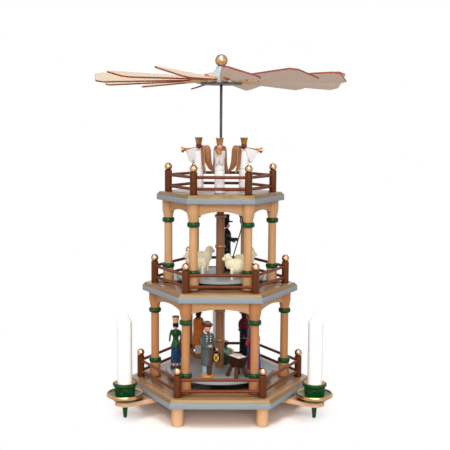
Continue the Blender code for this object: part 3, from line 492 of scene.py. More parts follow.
def finish_with(name, group, inputs, bump, shader):
    """A material whose colour, roughness and relief come from a shader group."""
    material, nodes, sockets = new_material(name)
    surface = nodes.add("ShaderNodeGroup", node_tree=GROUPS[group])
    nodes.fill(surface.inputs, inputs)
    nodes.fill(sockets, {
        "Base Color": surface.outputs["Colour"],
        "Roughness": surface.outputs["Roughness"],
        "Normal": nodes.relief(surface.outputs["Height"], bump),
        **shader,
    })
    return material


def wood(name, light, dark, roughness, figure, coat=0.0):
    inputs = {"Light": tone(*light), "Dark": tone(*dark), "Roughness": roughness, "Figure": figure}
    shader = {"Specular IOR Level": 0.12, "Coat Weight": coat, "Coat Roughness": 0.12}
    return finish_with(name, "wood_grain", inputs, 0.25, shader)


def paint(name, colour, roughness, mottle, coat=0.0):
    inputs = {"Colour": tone(*colour), "Roughness": roughness, "Mottle": mottle}
    shader = {"Specular IOR Level": 0.10, "Coat Weight": coat, "Coat Roughness": 0.10}
    return finish_with(name, "hand_paint", inputs, 0.12, shader)


def bronze(name, bright, deep, roughness, metallic=1.0):
    inputs = {"Bright": tone(*bright), "Deep": tone(*deep), "Roughness": roughness}
    return finish_with(name, "bronze_paint", inputs, 0.10, {"Metallic": metallic})


def painted_shade_in_gaps(material, coat, dark):
    """Painted shade: darkens the colour and fades the gloss where another piece stands close above the
    surface.
    """
    nodes, shader = Nodes(material.node_tree), shader_inputs(material)
    finish = shader["Base Color"].links[0].from_socket
    polish = shader["Roughness"].links[0].from_socket
    opening = nodes.add("ShaderNodeAmbientOcclusion", {"Distance": GAP_REACH}).outputs["AO"]
    shown = nodes.remap(opening, 0.35, 0.95)
    nodes.fill(shader, {
        "Base Color": nodes.mix(shown, tone(*dark), finish),
        "Coat Weight": nodes.times(shown, coat),
        "Roughness": nodes.math("MAXIMUM", polish, nodes.math("SUBTRACT", 1.0, shown)),
    })


def copper_ball():
    """Bronze paint on a ball: bright where it faces the viewer, and darker copper at its edge, a painted dark
    reflection.
    """
    material = bronze("ball_copper", (222, 178, 136), (198, 150, 108), 0.14)
    nodes, shader = Nodes(material.node_tree), shader_inputs(material)
    painted = shader["Base Color"].links[0].from_socket
    # Painted dark reflection at the ball's edge, as the camera sees it
    rim = nodes.remap(nodes.facing(0.35), 0.14, 0.50)
    nodes.fill(shader, {"Base Color": nodes.mix(rim, painted, tone(122, 66, 36))})
    return material


def drawn_steel():
    """The shaft: fine drawing marks along its length."""
    material, nodes, shader = new_material("drawn_steel")
    place = nodes.local_place()
    marks = nodes.noise(nodes.stretch(place, (1, 1, 0.01)), scale=9000, detail=2)
    stain = nodes.noise(place, scale=90, detail=3)
    nodes.fill(shader, {
        "Base Color": nodes.mix(stain, tone(80, 78, 80), tone(58, 56, 58)),
        "Roughness": nodes.remap(marks, 0.3, 0.7, 0.24, 0.42),
        "Normal": nodes.relief(marks, 0.15, distance=0.0001),
        "Metallic": 1.0,
    })
    return material


def bearing_glass():
    """Clear glass with a faint green cloud."""
    material, nodes, shader = new_material("bearing_glass")
    cloud = nodes.noise(nodes.local_place(), scale=700, detail=3)
    nodes.fill(shader, {
        "Base Color": nodes.mix(cloud, tone(226, 240, 236), tone(196, 222, 214)),
        "Roughness": nodes.remap(cloud, 0.3, 0.7, 0.04, 0.12),
        "Transmission Weight": 0.9,
        "IOR": 1.5,
    })
    return material


def candle_wax():
    """White stearin with faint clouds and a soft depth, and a painted grey-green shade along its outline as
    the camera sees it.
    """
    material, nodes, shader = new_material("candle_wax")
    place = nodes.local_place()
    cloud = nodes.noise(place, scale=180, detail=4)
    fine = nodes.noise(nodes.stretch(place, (1, 1, 0.4)), scale=1400, detail=2)
    clear = nodes.mix(cloud, tone(255, 255, 253), tone(250, 250, 246))
    nodes.fill(shader, {
        # Painted shade along the candle's outline
        "Base Color": nodes.mix(nodes.remap(nodes.facing(0.5), 0.62, 0.95), clear, tone(214, 218, 200)),
        "Roughness": nodes.remap(cloud, 0.3, 0.7, 0.32, 0.46),
        "Normal": nodes.relief(nodes.sum(cloud, fine), 0.12),
        "Subsurface Weight": 0.35,
        "Subsurface Scale": 0.004,
    })
    return material


def twisted_cotton():
    """The wick: pale plies that wind around it."""
    material, nodes, shader = new_material("twisted_cotton")
    settings = {"Vector": nodes.local_place(), "Scale": 900, "Distortion": 1.0}
    plies = nodes.add("ShaderNodeTexWave", settings, bands_direction="DIAGONAL").outputs["Fac"]
    nodes.fill(shader, {
        "Base Color": nodes.mix(plies, tone(232, 230, 206), tone(206, 202, 172)),
        "Normal": nodes.relief(plies, 0.6),
        "Roughness": 0.9,
    })
    return material


def carved_wool():
    """Cream wool: light tips over a darker, yellower depth in the hollows of its relief, which is painted
    shade.
    """
    material, nodes, shader = new_material("carved_wool")
    place = nodes.add("ShaderNodeTexCoord").outputs["Object"]
    curls = nodes.noise(place, scale=1100, detail=4)
    patches = nodes.noise(place, scale=160, detail=2)
    pale = nodes.mix(nodes.remap(patches, 0.35, 0.7), tone(255, 251, 232), tone(248, 240, 208))
    nodes.fill(shader, {
        # Painted shade: the depth tone follows the low places of the curls' relief
        "Base Color": nodes.mix(nodes.remap(curls, 0.35, 0.65), tone(220, 206, 162), pale),
        "Normal": nodes.relief(curls, 0.6, distance=0.0006),
        "Roughness": 0.85,
        "Sheen Weight": 0.2,
    })
    return material


def skirt_border():
    """A red border with pale diamonds between two gold lines, around a skirt's hem."""
    material, nodes, shader = new_material("skirt_border")
    place = nodes.attribute("grain")["Vector"]
    axes = nodes.add("ShaderNodeSeparateXYZ", {0: place}).outputs
    around = nodes.times(nodes.math("ARCTAN2", axes["Y"], axes["X"]), BORDER_DIAMONDS / FULL_TURN)
    across = nodes.math("ABSOLUTE", nodes.math("SUBTRACT", nodes.math("FRACT", around), 0.5))
    up = nodes.math("ABSOLUTE", nodes.remap(axes["Z"], BORDER_LOW, BORDER_HIGH, -0.5, 0.5))
    diamond = nodes.math("LESS_THAN", nodes.sum(across, nodes.times(up, 0.9)), 0.26)
    line = nodes.math("GREATER_THAN", up, 0.37)
    body = nodes.mix(diamond, tone(178, 30, 40), tone(232, 214, 170))
    coloured = nodes.mix(line, body, tone(190, 150, 80))
    mottled = nodes.noise(place, scale=2000, detail=2)
    nodes.fill(shader, {
        "Base Color": nodes.mix(nodes.times(mottled, 0.15), coloured, BLACK),
        "Roughness": nodes.remap(mottled, 0.3, 0.7, 0.35, 0.5),
    })
    return material


# Light and dark tone, roughness, figure and coat of each wood
WOODS = {
    "board_varnish": ((176, 136, 98), (134, 94, 60), 0.30, 0.75, BOARD_COAT),
    "board_underside": ((205, 160, 118), (175, 125, 82), 0.5, 0.6),
    "chamfer_gilt": ((152, 128, 84), (132, 104, 58), 0.34, 0.5, 0.2),
    # The oblique chamfers: the gilt painted darker, painted shade
    "chamfer_side_shade": ((128, 100, 62), (104, 76, 42), 0.34, 0.5, 0.2),
    "beech": ((206, 163, 118), (178, 128, 82), 0.38, 0.7, 0.15),
    # The lower pillars: the same beech painted darker, painted shade
    "beech_lower_painted_shade": ((190, 134, 88), (160, 102, 60), 0.38, 0.7, 0.15),
    "beech_arch": ((206, 164, 122), (178, 130, 86), 0.42, 0.7),
    "beech_pale": ((224, 182, 140), (200, 148, 106), 0.46, 0.6),
    "arm_beech": ((228, 188, 150), (204, 154, 114), 0.46, 0.6),
    # The columns: beech painted darker, painted shade under the boards
    "beech_column_painted_shade": ((150, 108, 80), (118, 78, 54), 0.36, 0.7, 0.15),
    "rail_stain": ((112, 56, 18), (66, 32, 9), 0.34, 0.9, 0.08),
    # The rails: a lighter copy of the posts' stain, painted light on their tops
    "rail_bar_painted_light": ((128, 56, 20), (80, 33, 10), 0.34, 0.9, 0.08),
    # The turntables' underside, painted dark: painted shade
    "table_underside_shade": ((66, 44, 32), (40, 26, 18), 0.6, 0.6),
    "veneer": ((208, 190, 168), (188, 166, 144), 0.55, 0.55),
    # The blades' underside, a lighter copy of the veneer: painted light from below
    "veneer_below_painted_light": ((232, 214, 200), (202, 180, 164), 0.6, 0.55),
    "scorched_edge": ((162, 88, 64), (114, 56, 40), 0.6, 0.8),
    "peg_wood": ((232, 200, 160), (206, 164, 118), 0.5, 0.6),
    "peg_end": ((206, 128, 78), (150, 80, 44), 0.6, 0.8),
    "socket_wood": ((214, 168, 134), (180, 124, 90), 0.5, 0.5),
    "staff": ((116, 58, 30), (70, 30, 16), 0.4, 0.9, 0.2),
    "hat_cream": ((234, 188, 134), (210, 156, 98), 0.45, 0.4),
    "manger_brown": ((60, 32, 17), (34, 17, 9), 0.5, 0.9, 0.1),
    "log_brown": ((92, 52, 28), (50, 26, 14), 0.5, 0.9, 0.1),
    "crook": ((64, 50, 46), (38, 28, 26), 0.4, 0.8),
}

# Tone, roughness, mottle and coat of each paint
PAINTS = {
    "edge_grey": ((140, 149, 157), 0.42, 0.06),
    "ring_green": ((4, 64, 26), 0.22, 0.10, 0.18),
    "table_grey": ((156, 162, 164), 0.34, 0.07, 0.15),
    "hub_grey": ((172, 180, 185), 0.40, 0.06),
    # The flange's edge and the hub's underside, painted dark: painted shade
    "hub_edge_painted_shade": ((104, 98, 104), 0.45, 0.15),
    "cup_green": ((4, 62, 20), 0.26, 0.10, 0.12),
    "saucer_inside": ((92, 118, 100), 0.34, 0.10, 0.2),
    "fleece_face": ((244, 232, 200), 0.6, 0.25),
    "skin": ((238, 160, 140), 0.42, 0.08, 0.1),
    "cheek": ((216, 84, 78), 0.4, 0.05),
    "lip": ((172, 52, 50), 0.4, 0.05),
    "eye": ((30, 26, 30), 0.2, 0.0),
    "hair_brown": ((108, 50, 34), 0.5, 0.2),
    "hair_dark": ((36, 22, 16), 0.5, 0.2),
    "coat_grey": ((80, 89, 86), 0.42, 0.16, 0.1),
    "coat_seam": ((52, 62, 66), 0.5, 0.1),
    "trouser_blue": ((150, 165, 178), 0.42, 0.14),
    # The leg on the staff's side, painted darker: painted shade
    "trouser_painted_shade": ((70, 82, 96), 0.42, 0.14),
    "button": ((226, 228, 222), 0.25, 0.05),
    "collar": ((238, 230, 226), 0.4, 0.1),
    "ochre": ((216, 148, 46), 0.36, 0.14, 0.2),
    "hat_brown": ((84, 36, 30), 0.46, 0.25),
    "hat_top": ((158, 128, 98), 0.5, 0.2),
    "lantern_black": ((24, 22, 20), 0.3, 0.1, 0.3),
    "lantern_pane": ((232, 190, 66), 0.25, 0.15, 0.4),
    "jacket_green": ((26, 74, 30), 0.42, 0.2, 0.1),
    "jacket_dark": ((20, 56, 26), 0.45, 0.15),
    "skirt_blue": ((14, 54, 90), 0.42, 0.2, 0.1),
    "hat_rim": ((140, 84, 40), 0.4, 0.1),
    "coat_orange": ((204, 112, 42), 0.45, 0.2),
    "coat_orange_dark": ((140, 70, 24), 0.45, 0.15),
    "trouser_pale": ((196, 192, 182), 0.45, 0.14),
    "base_brown": ((148, 82, 38), 0.4, 0.2),
    "robe_blue": ((26, 86, 186), 0.4, 0.16, 0.15),
    "dress_red": ((196, 34, 46), 0.4, 0.16, 0.15),
    "cape_red": ((96, 18, 32), 0.42, 0.2),
    "robe_black": ((13, 13, 13), 0.4, 0.2, 0.1),
    "cloak_green": ((22, 58, 30), 0.45, 0.2),
    "sleeve_sage": ((122, 146, 126), 0.5, 0.18),
    "linen": ((232, 222, 212), 0.7, 0.2),
    "coat_black": ((11, 15, 11), 0.36, 0.2, 0.1),
    "cuff_green": ((96, 124, 102), 0.5, 0.2),
    "collar_orange": ((200, 110, 48), 0.5, 0.2),
    "gown_white": ((252, 252, 252), 0.34, 0.03, 0.1),
    "gown_line": ((206, 212, 218), 0.4, 0.05),
}

# Bright and deep tone, roughness and metallic value of each bronze paint
BRONZES = {
    "bead_brown": ((176, 124, 76), (112, 66, 34), 0.24, 0.5),
    "rim_gold": ((206, 162, 110), (176, 130, 82), 0.16),
    "belt_bronze": ((150, 120, 90), (100, 70, 50), 0.4, 0.5),
    "wing_bronze": ((166, 108, 68), (132, 82, 50), 0.40, 0.35),
    "wing_edge": ((206, 160, 96), (160, 112, 60), 0.34, 0.7),
    "crown_gold": ((170, 122, 70), (122, 80, 40), 0.34, 0.65),
    "trumpet_gold": ((216, 164, 104), (160, 108, 60), 0.22, 0.9),
}


def make_finishes():
    """Every finish, by its name."""
    made = {name: wood(name, *values) for name, values in WOODS.items()}
    made.update({name: paint(name, *values) for name, values in PAINTS.items()})
    made.update({name: bronze(name, *values) for name, values in BRONZES.items()})
    # Painted shade on the boards' varnish and on the candle arms, where other pieces stand close above them
    painted_shade_in_gaps(made["board_varnish"], BOARD_COAT, BOARD_PAINTED_SHADE)
    painted_shade_in_gaps(made["arm_beech"], 0.0, ARM_PAINTED_SHADE)
    return made | {
        "ball_copper": copper_ball(),
        "steel": drawn_steel(),
        "glass": bearing_glass(),
        "wax": candle_wax(),
        "wick": twisted_cotton(),
        "wool": carved_wool(),
        "skirt_border": skirt_border(),
    }


def from_profile(profile, segments=48, loop=False):
    """Turn (radius, height) points about Z. A loop, or a profile off the axis, closes on itself."""
    body = bmesh.new()
    rings = [ring_at(body, shift(0, 0, height), radius, segments) for radius, height in profile]
    return skinned(body, rings, loop or len(rings[0]) > 1)


def ring_at(body, place, radius, segments):
    """One ring of points, or the single point of a pole."""
    if radius < NOTHING:
        return [body.verts.new(place @ Vector((0, 0, 0)))]
    angles = [FULL_TURN * step / segments for step in range(segments)]
    return [body.verts.new(place @ Vector((radius * math.cos(a), radius * math.sin(a), 0))) for a in angles]


def join_rings(body, lower, upper):
    count = max(len(lower), len(upper))
    if count == 1:
        return
    for step in range(count):
        after = (step + 1) % count
        corners = [ring[place % len(ring)] for ring, place in (
            (lower, step), (lower, after), (upper, after), (upper, step)
        )]
        body.faces.new(list(dict.fromkeys(corners)))


def skinned(body, rings, loop=False):
    """Faces between each ring of points and the next, and back to the first one in a loop."""
    for lower, upper in zip(rings, [*rings[1:], rings[0]] if loop else rings[1:]):
        join_rings(body, lower, upper)
    return closed(body)


def joined_rows(body, rows):
    """Faces between each open row of points and the next."""
    for lower, upper in zip(rows, rows[1:]):
        for step in range(len(lower) - 1):
            body.faces.new((lower[step], lower[step + 1], upper[step + 1], upper[step]))


def closed(body):
    body.normal_update()
    bmesh.ops.recalc_face_normals(body, faces=body.faces)
    return body


def rounded(outline, rounding, steps=3):
    """An open outline with each inner corner rounded, as far as its neighbours leave room."""
    points = [Vector(point) for point in outline]
    result = [points[0]]
    for before, corner, after in zip(points, points[1:], points[2:]):
        reach = min(rounding, (before - corner).length * 0.48, (after - corner).length * 0.48)
        start = corner + (before - corner).normalized() * reach
        end = corner + (after - corner).normalized() * reach
        for step in range(steps + 1):
            share = step / steps
            result.append(start.lerp(corner, share).lerp(corner.lerp(end, share), share))
    result.append(points[-1])
    return [tuple(point) for point in result]


def smoothed(rows, steps):
    """Rows of numbers on a smooth curve through the given ones."""
    rows = [Vector(row) for row in rows]
    held = [rows[0] * 2 - rows[1], *rows, rows[-1] * 2 - rows[-2]]
    result = []
    for before, first, second, after in zip(held, held[1:], held[2:], held[3:]):
        for step in range(steps):
            t = step / steps
            bend = (before * 2 - first * 5 + second * 4 - after) * t * t
            turn = (first * 3 - before - second * 3 + after) * t * t * t
            result.append((first * 2 + (second - before) * t + bend + turn) * 0.5)
    result.append(rows[-1])
    return result


def tube(rows, segments=14, steps=5):
    """A round bar through (x, y, z, radius) rows, with domed ends."""
    path = smoothed(rows, steps)
    first_way = (path[0].xyz - path[1].xyz).normalized()
    last_way = (path[-1].xyz - path[-2].xyz).normalized()
    first_dome = domed_end(path[0], first_way)
    last_dome = reversed(domed_end(path[-1], last_way))
    stations = [*first_dome, *[(row.xyz, row.w) for row in path], *last_dome]
    body = bmesh.new()
    side = first_way.orthogonal().normalized()
    rings = []
    for number, (centre, radius) in enumerate(stations):
        before = stations[max(number - 1, 0)][0]
        after = stations[min(number + 1, len(stations) - 1)][0]
        way = (after - before).normalized()
        side = (side - way * side.dot(way)).normalized()
        rings.append(ring_at(body, across(way, side, centre), radius, segments))
    return skinned(body, rings)


def domed_end(row, way):
    """Rings that close a bar's end, from its tip inwards."""
    turns = [math.radians(angle) for angle in (90, 60, 30)]
    return [(row.xyz + way * row.w * math.sin(a), row.w * math.cos(a)) for a in turns]


def across(way, side, centre):
    """The frame of a ring that stands across a path."""
    place = Matrix((side, way.cross(side), way)).transposed().to_4x4()
    place.translation = centre
    return place


def slab(outline, thickness, edge, bevel_steps=2):
    """A flat plate from an (x, y) outline, half above and half below z = 0, with eased edges."""
    body = bmesh.new()
    low = [body.verts.new((x, y, -thickness / 2)) for x, y in outline]
    high = [body.verts.new((x, y, thickness / 2)) for x, y in outline]
    body.faces.new(low)
    body.faces.new(high)
    for step, corner in enumerate(low):
        after = (step + 1) % len(low)
        body.faces.new((corner, low[after], high[after], high[step]))
    closed(body)
    return eased(body, edge, bevel_steps, clamp_overlap=True)


def eased(body, edge, steps=2, **settings):
    """Round every edge of a body over."""
    bmesh.ops.bevel(
        body, geom=body.edges[:], offset=edge, segments=steps, profile=0.5, affect="EDGES", **settings
    )
    return closed(body)


def ellipsoid(centre, radii, segments=24):
    body = bmesh.new()
    bmesh.ops.create_uvsphere(body, u_segments=segments, v_segments=segments // 2, radius=1)
    body.transform(Matrix.Translation(centre) @ Matrix.Diagonal((*radii, 1)))
    return closed(body)


def block(low, high, edge):
    """A box with eased edges."""
    low, high = Vector(low), Vector(high)
    body = bmesh.new()
    bmesh.ops.create_cube(body, size=1)
    body.transform(Matrix.Translation((low + high) / 2) @ Matrix.Diagonal((*(high - low), 1)))
    return eased(body, edge)


def about(axis, angle):
    return Matrix.Rotation(angle, 4, axis)


def shift(x, y, z):
    return Matrix.Translation((x, y, z))


def on_circle(radius, angle, height=0.0):
    return (radius * math.cos(angle), radius * math.sin(angle), height)


def arc(centre, radius, first, last, steps):
    """Points of a circular arc between two angles in degrees, ends included."""
    sweep = [math.radians(first + (last - first) * step / steps) for step in range(steps + 1)]
    return [(centre[0] + radius * math.cos(angle), centre[1] + radius * math.sin(angle)) for angle in sweep]


class Shape:
    """A piece in the making: closed bodies are added one by one, each with its own finish."""

    def __init__(self, scale=1.0):
        self.mesh = bmesh.new()
        self.grain = self.mesh.verts.layers.float_vector.new("grain")
        self.piece = self.mesh.verts.layers.float.new("piece")
        self.finishes = []
        self.scale = scale
        self.bodies = 0

    def slot_of(self, finish):
        if finish not in self.finishes:
            self.finishes.append(finish)
        return self.finishes.index(finish)

    def add(self, body, finish, place=None, along_x=False):
        """Add a body. Its finish is a name, or a function that gives one for each face.

        Its grain runs along its Z axis, or else along its X axis.
        """
        place = place or Matrix()
        made = {}
        for vert in body.verts:
            twin = self.mesh.verts.new(place @ vert.co)
            twin[self.grain] = (vert.co.yzx if along_x else vert.co) * self.scale
            twin[self.piece] = self.bodies
            made[vert] = twin
        for face in body.faces:
            twin = self.mesh.faces.new([made[vert] for vert in face.verts])
            twin.smooth = True
            twin.material_index = self.slot_of(finish(face) if callable(finish) else finish)
        body.free()
        self.bodies += 1
        return self

    def made(self, name, place=None):
        """Turn the shape into an object at the origin, with its place in its mesh."""
        if place is not None:
            self.mesh.transform(place)
        self.mesh.normal_update()
        mesh = bpy.data.meshes.new(name)
        self.mesh.to_mesh(mesh)
        self.mesh.free()
        for finish in self.finishes:
            mesh.materials.append(FINISHES[finish])
        mesh.set_sharp_from_angle(angle=SHARP_ANGLE)
        return in_scene(name, mesh)


def in_scene(name, data):
    made = bpy.data.objects.new(name, data)
    bpy.context.scene.collection.objects.link(made)
    return made


def placed(piece, body, slot, *nodes):
    """Hand a finished piece to the frame: it rides on a body and stands for its CAD nodes."""
    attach(piece, body)
    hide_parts(*nodes)
    return piece


def single(name, body_mesh, finish, body, slot, *nodes):
    """A piece of one turned or cut body."""
    return placed(Shape().add(body_mesh, finish).made(name), body, slot, *nodes)


def applied(piece):
    """Put a piece's modifiers into its mesh and remove them."""
    evaluated = piece.evaluated_get(bpy.context.evaluated_depsgraph_get())
    mesh = bpy.data.meshes.new_from_object(evaluated)
    piece.modifiers.clear()
    piece.data = mesh
    return piece


def drilled(piece, radius, low, high, segments=40):
    """Cut a round hole on the Z axis."""
    profile = [(0, low), (radius, low), (radius, high), (0, high)]
    cutter = Shape().add(from_profile(profile, segments), "board_underside").made("cutter")
    modifier = piece.modifiers.new("hole", "BOOLEAN")
    modifier.operation = "DIFFERENCE"
    modifier.object = cutter
    applied(piece)
    bpy.data.objects.remove(cutter)
    return piece


class Tree(Nodes):
    """A Geometry Nodes tree with named inputs, whose modifier is set by its sockets' identifiers."""

    KINDS = {float: "NodeSocketFloat", int: "NodeSocketInt", "material": "NodeSocketMaterial"}

    def __init__(self, name, inputs):
        tree = bpy.data.node_groups.new(name, "GeometryNodeTree")
        super().__init__(tree)
        tree.interface.new_socket("Geometry", in_out="INPUT", socket_type="NodeSocketGeometry")
        for socket, kind in inputs.items():
            tree.interface.new_socket(socket, in_out="INPUT", socket_type=self.KINDS[kind])
        tree.interface.new_socket("Geometry", in_out="OUTPUT", socket_type="NodeSocketGeometry")
        self.given = self.add("NodeGroupInput").outputs

    def ends(self, geometry):
        """Realise what the tree made, give it its finish and put it out."""
        realised = self.add("GeometryNodeRealizeInstances", {"Geometry": geometry})
        inputs = {"Geometry": realised.outputs["Geometry"], "Material": self.given["Finish"]}
        covered = self.add("GeometryNodeSetMaterial", inputs)
        self.add("NodeGroupOutput", {"Geometry": covered.outputs["Geometry"]})
        return self

    def run_on(self, piece, **values):
        modifier = piece.modifiers.new(self.tree.name, "NODES")
        modifier.node_group = self.tree
        for item in self.tree.interface.items_tree:
            if item.in_out == "INPUT" and item.name in values:
                modifier[item.identifier] = values[item.name]
        applied(piece)
        piece.data.set_sharp_from_angle(angle=SHARP_ANGLE)
        return piece


def ring_of_copies_tree():
    """Stands copies of a piece at equal steps around the shaft, each turned to face out."""
    inputs = {"Count": int, "Radius": float, "Height": float, "First": float, "Finish": "material"}
    tree = Tree("ring_of_copies", inputs)
    given = tree.given
    circle = tree.add("GeometryNodeMeshCircle", {"Vertices": given["Count"], "Radius": given["Radius"]})
    turn = tree.add("ShaderNodeCombineXYZ", {"Z": given["First"]})
    rise = tree.add("ShaderNodeCombineXYZ", {"Z": given["Height"]})
    spun = tree.add(
        "GeometryNodeTransform",
        {"Geometry": circle.outputs["Mesh"], "Translation": rise.outputs[0], "Rotation": turn.outputs[0]},
    )
    index = tree.add("GeometryNodeInputIndex").outputs[0]
    step = tree.math("DIVIDE", FULL_TURN, given["Count"])
    angle = tree.sum(tree.math("MULTIPLY", index, step), given["First"])
    about_shaft = tree.add("ShaderNodeCombineXYZ", {"Z": angle}).outputs[0]
    facing = tree.add("FunctionNodeEulerToRotation", {0: about_shaft})
    copies = tree.add(
        "GeometryNodeInstanceOnPoints",
        {"Points": spun.outputs["Geometry"], "Instance": given["Geometry"], "Rotation": facing.outputs[0]},
    )
    numbered = tree.add(
        "GeometryNodeStoreNamedAttribute",
        {"Geometry": copies.outputs["Instances"], "Name": "piece", "Value": index},
        domain="INSTANCE",
        data_type="FLOAT",
    )
    return tree.ends(numbered.outputs["Geometry"])


def rails_tree():
    """Round rails that run from corner to corner at two heights."""
    measures = dict.fromkeys(("Radius", "Floor", "Low", "High", "Rail Radius"), float)
    tree = Tree("rails", {**measures, "Finish": "material"})
    given = tree.given
    circle = tree.add("GeometryNodeMeshCircle", {"Vertices": SIDES, "Radius": given["Radius"]})
    loop = tree.add("GeometryNodeMeshToCurve", {"Mesh": circle.outputs["Mesh"]}).outputs["Curve"]
    both = tree.add("GeometryNodeJoinGeometry")
    for rise in ("Low", "High"):
        height = tree.add("ShaderNodeCombineXYZ", {"Z": tree.sum(given["Floor"], given[rise])}).outputs[0]
        raised = tree.add("GeometryNodeTransform", {"Geometry": loop, "Translation": height})
        tree.tree.links.new(raised.outputs["Geometry"], both.inputs["Geometry"])
    along = tree.add("GeometryNodeSplineParameter").outputs["Length"]
    place = tree.add("ShaderNodeCombineXYZ", {"Z": along}).outputs[0]
    marked = tree.add(
        "GeometryNodeStoreNamedAttribute",
        {"Geometry": both.outputs["Geometry"], "Name": "grain", "Value": place},
        domain="POINT",
        data_type="FLOAT_VECTOR",
    )
    section = tree.add("GeometryNodeCurvePrimitiveCircle", {"Resolution": 18, "Radius": given["Rail Radius"]})
    sweep = {"Curve": marked.outputs["Geometry"], "Profile Curve": section.outputs["Curve"]}
    bars = tree.add("GeometryNodeCurveToMesh", sweep)
    smooth = tree.add("GeometryNodeSetShadeSmooth", {"Geometry": bars.outputs["Mesh"]})
    return tree.ends(smooth.outputs["Geometry"])


def wool_tree():
    """Scatters short curls over a sheep's fleece and keeps the fleece under them."""
    inputs = {"Density": float, "Curl Size": float, "Seed": int, "Finish": "material"}
    tree = Tree("wool", inputs)
    given = tree.given
    spread = tree.add(
        "GeometryNodeDistributePointsOnFaces",
        {"Mesh": given["Geometry"], "Density": given["Density"], "Seed": given["Seed"]},
    )
    curl = tree.add("GeometryNodeMeshIcoSphere", {"Radius": given["Curl Size"], "Subdivisions": 1})
    stretched = {"Geometry": curl.outputs["Mesh"], "Scale": (0.8, 0.8, 1.5)}
    long_curl = tree.add("GeometryNodeTransform", stretched)
    size = tree.add(
        "FunctionNodeRandomValue", {2: 0.6, 3: 1.25, "Seed": given["Seed"]}, data_type="FLOAT"
    ).outputs[1]
    copies = tree.add(
        "GeometryNodeInstanceOnPoints",
        {
            "Points": spread.outputs["Points"],
            "Instance": long_curl.outputs["Geometry"],
            "Rotation": spread.outputs["Rotation"],
            "Scale": size,
        },
    )
    smooth = tree.add("GeometryNodeSetShadeSmooth", {"Geometry": copies.outputs["Instances"]})
    both = tree.add("GeometryNodeJoinGeometry")
    tree.tree.links.new(smooth.outputs["Geometry"], both.inputs["Geometry"])
    tree.tree.links.new(given["Geometry"], both.inputs["Geometry"])
    return tree.ends(both.outputs["Geometry"])


def ring_of(name, shape, finish, radius, height):
    """A copy of the shape at each corner of a storey."""
    sizes = {"Count": SIDES, "Radius": radius, "Height": height, "First": CORNER_ANGLES[0]}
    return TREES["ring"].run_on(shape.made(name), Finish=FINISHES[finish], **sizes)


def board_finish(face):
    """A board is varnished on top, gilt on its chamfer, grey on its side and bare below.

    The chamfers on the four oblique sides are painted darker: painted shade.
    """
    lean = face.normal.z
    if lean > 0.9:
        return "board_varnish"
    if lean > 0.35:
        return "chamfer_gilt" if abs(face.normal.y) > abs(face.normal.x) else "chamfer_side_shade"
    return "edge_grey" if lean > -0.6 else "board_underside"


def hexagonal_board(tier):
    top_corner = tier.corner_radius - (BOARD_THICKNESS - BOARD_SIDE)
    corner = tier.corner_radius
    profile = [(0, 0), (corner, 0), (corner, BOARD_SIDE), (top_corner, BOARD_THICKNESS)]
    board = from_profile([*profile, (0, BOARD_THICKNESS)], SIDES)
    flat = [edge for edge in board.edges if edge.calc_face_angle(0) < FLAT_ANGLE]
    bmesh.ops.dissolve_edges(board, edges=flat, use_verts=True)
    return eased(board, BOARD_EDGE)


def build_boards():
    for tier in (LOWER, MIDDLE, UPPER):
        name = tier.board + "_plank"
        board = Shape().add(hexagonal_board(tier), board_finish, along_x=True)
        piece = board.made(name, shift(0, 0, tier.underside))
        if tier is LOWER:
            low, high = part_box("bearing_cup")
            drilled(piece, high.x + BEARING_SEAT_GAP, low.z, high.z + BOARD_THICKNESS)
        else:
            drilled(piece, SHAFT_HOLE_RADIUS, tier.underside - BOARD_THICKNESS, tier.top + BOARD_THICKNESS)
        placed(piece, "stand", "board_brown", tier.board)


def build_legs():
    height = LOWER.underside
    foot = [(0, 0), (LEG_RADIUS, 0), (LEG_RADIUS, height), (0, height)]
    leg = Shape().add(from_profile(rounded(foot, LEG_ROUNDING, 4), 40), "beech_pale")
    placed(ring_of("legs", leg, "beech_pale", LOWER.post_circle, 0), "stand", "beech_light", "base_board")


def arch_outline(span):
    """Flat above, where the panel enters the board, and arched below."""
    half = span / 2
    rise = ARCH_END_DEPTH - ARCH_CROWN_DEPTH
    radius = (half**2 + rise**2) / (2 * rise)
    sweep = math.degrees(math.asin(half / radius))
    underside = arc((0, -ARCH_CROWN_DEPTH - radius), radius, 90 + sweep, 90 - sweep, 28)
    return [(half, 0), (-half, 0), *underside]


def build_arches():
    for tier, board in ((LOWER, MIDDLE), (MIDDLE, UPPER)):
        spacing = 2 * tier.pillar_circle * math.sin(HALF_SIDE)
        apothem = tier.pillar_circle * math.cos(HALF_SIDE)
        arches = Shape()
        for angle in CORNER_ANGLES:
            middle = angle - HALF_SIDE
            upright = about("Z", middle + QUARTER_TURN) @ about("X", QUARTER_TURN)
            place = shift(*on_circle(apothem, middle, board.underside)) @ upright
            panel = slab(arch_outline(spacing - 2 * ARCH_TENON_INSET), ARCH_THICKNESS, ARCH_EDGE)
            arches.add(panel, "beech_arch", place, along_x=True)
        placed(arches.made(tier.storey + "_arches"), "stand", "beech", board.board)


def pillar_profile(height):
    upper_ring = height - UPPER_RING_DROP
    capital = upper_ring + RING_HEIGHT / 2 + PILLAR_CAPITAL_FLARE
    outline = [
        (0, 0),
        (PILLAR_FOOT_RADIUS, 0),
        (PILLAR_FOOT_RADIUS, PILLAR_FOOT_HEIGHT),
        (PILLAR_SHAFT_RADIUS, LOWER_RING_RISE),
        (PILLAR_SHAFT_RADIUS, upper_ring),
        (PILLAR_NECK_RADIUS, upper_ring + RING_HEIGHT / 2),
        (PILLAR_CAPITAL_RADIUS, capital),
        (PILLAR_CAPITAL_RADIUS, height),
        (0, height),
    ]
    return rounded(outline, PILLAR_ROUNDING, 4)


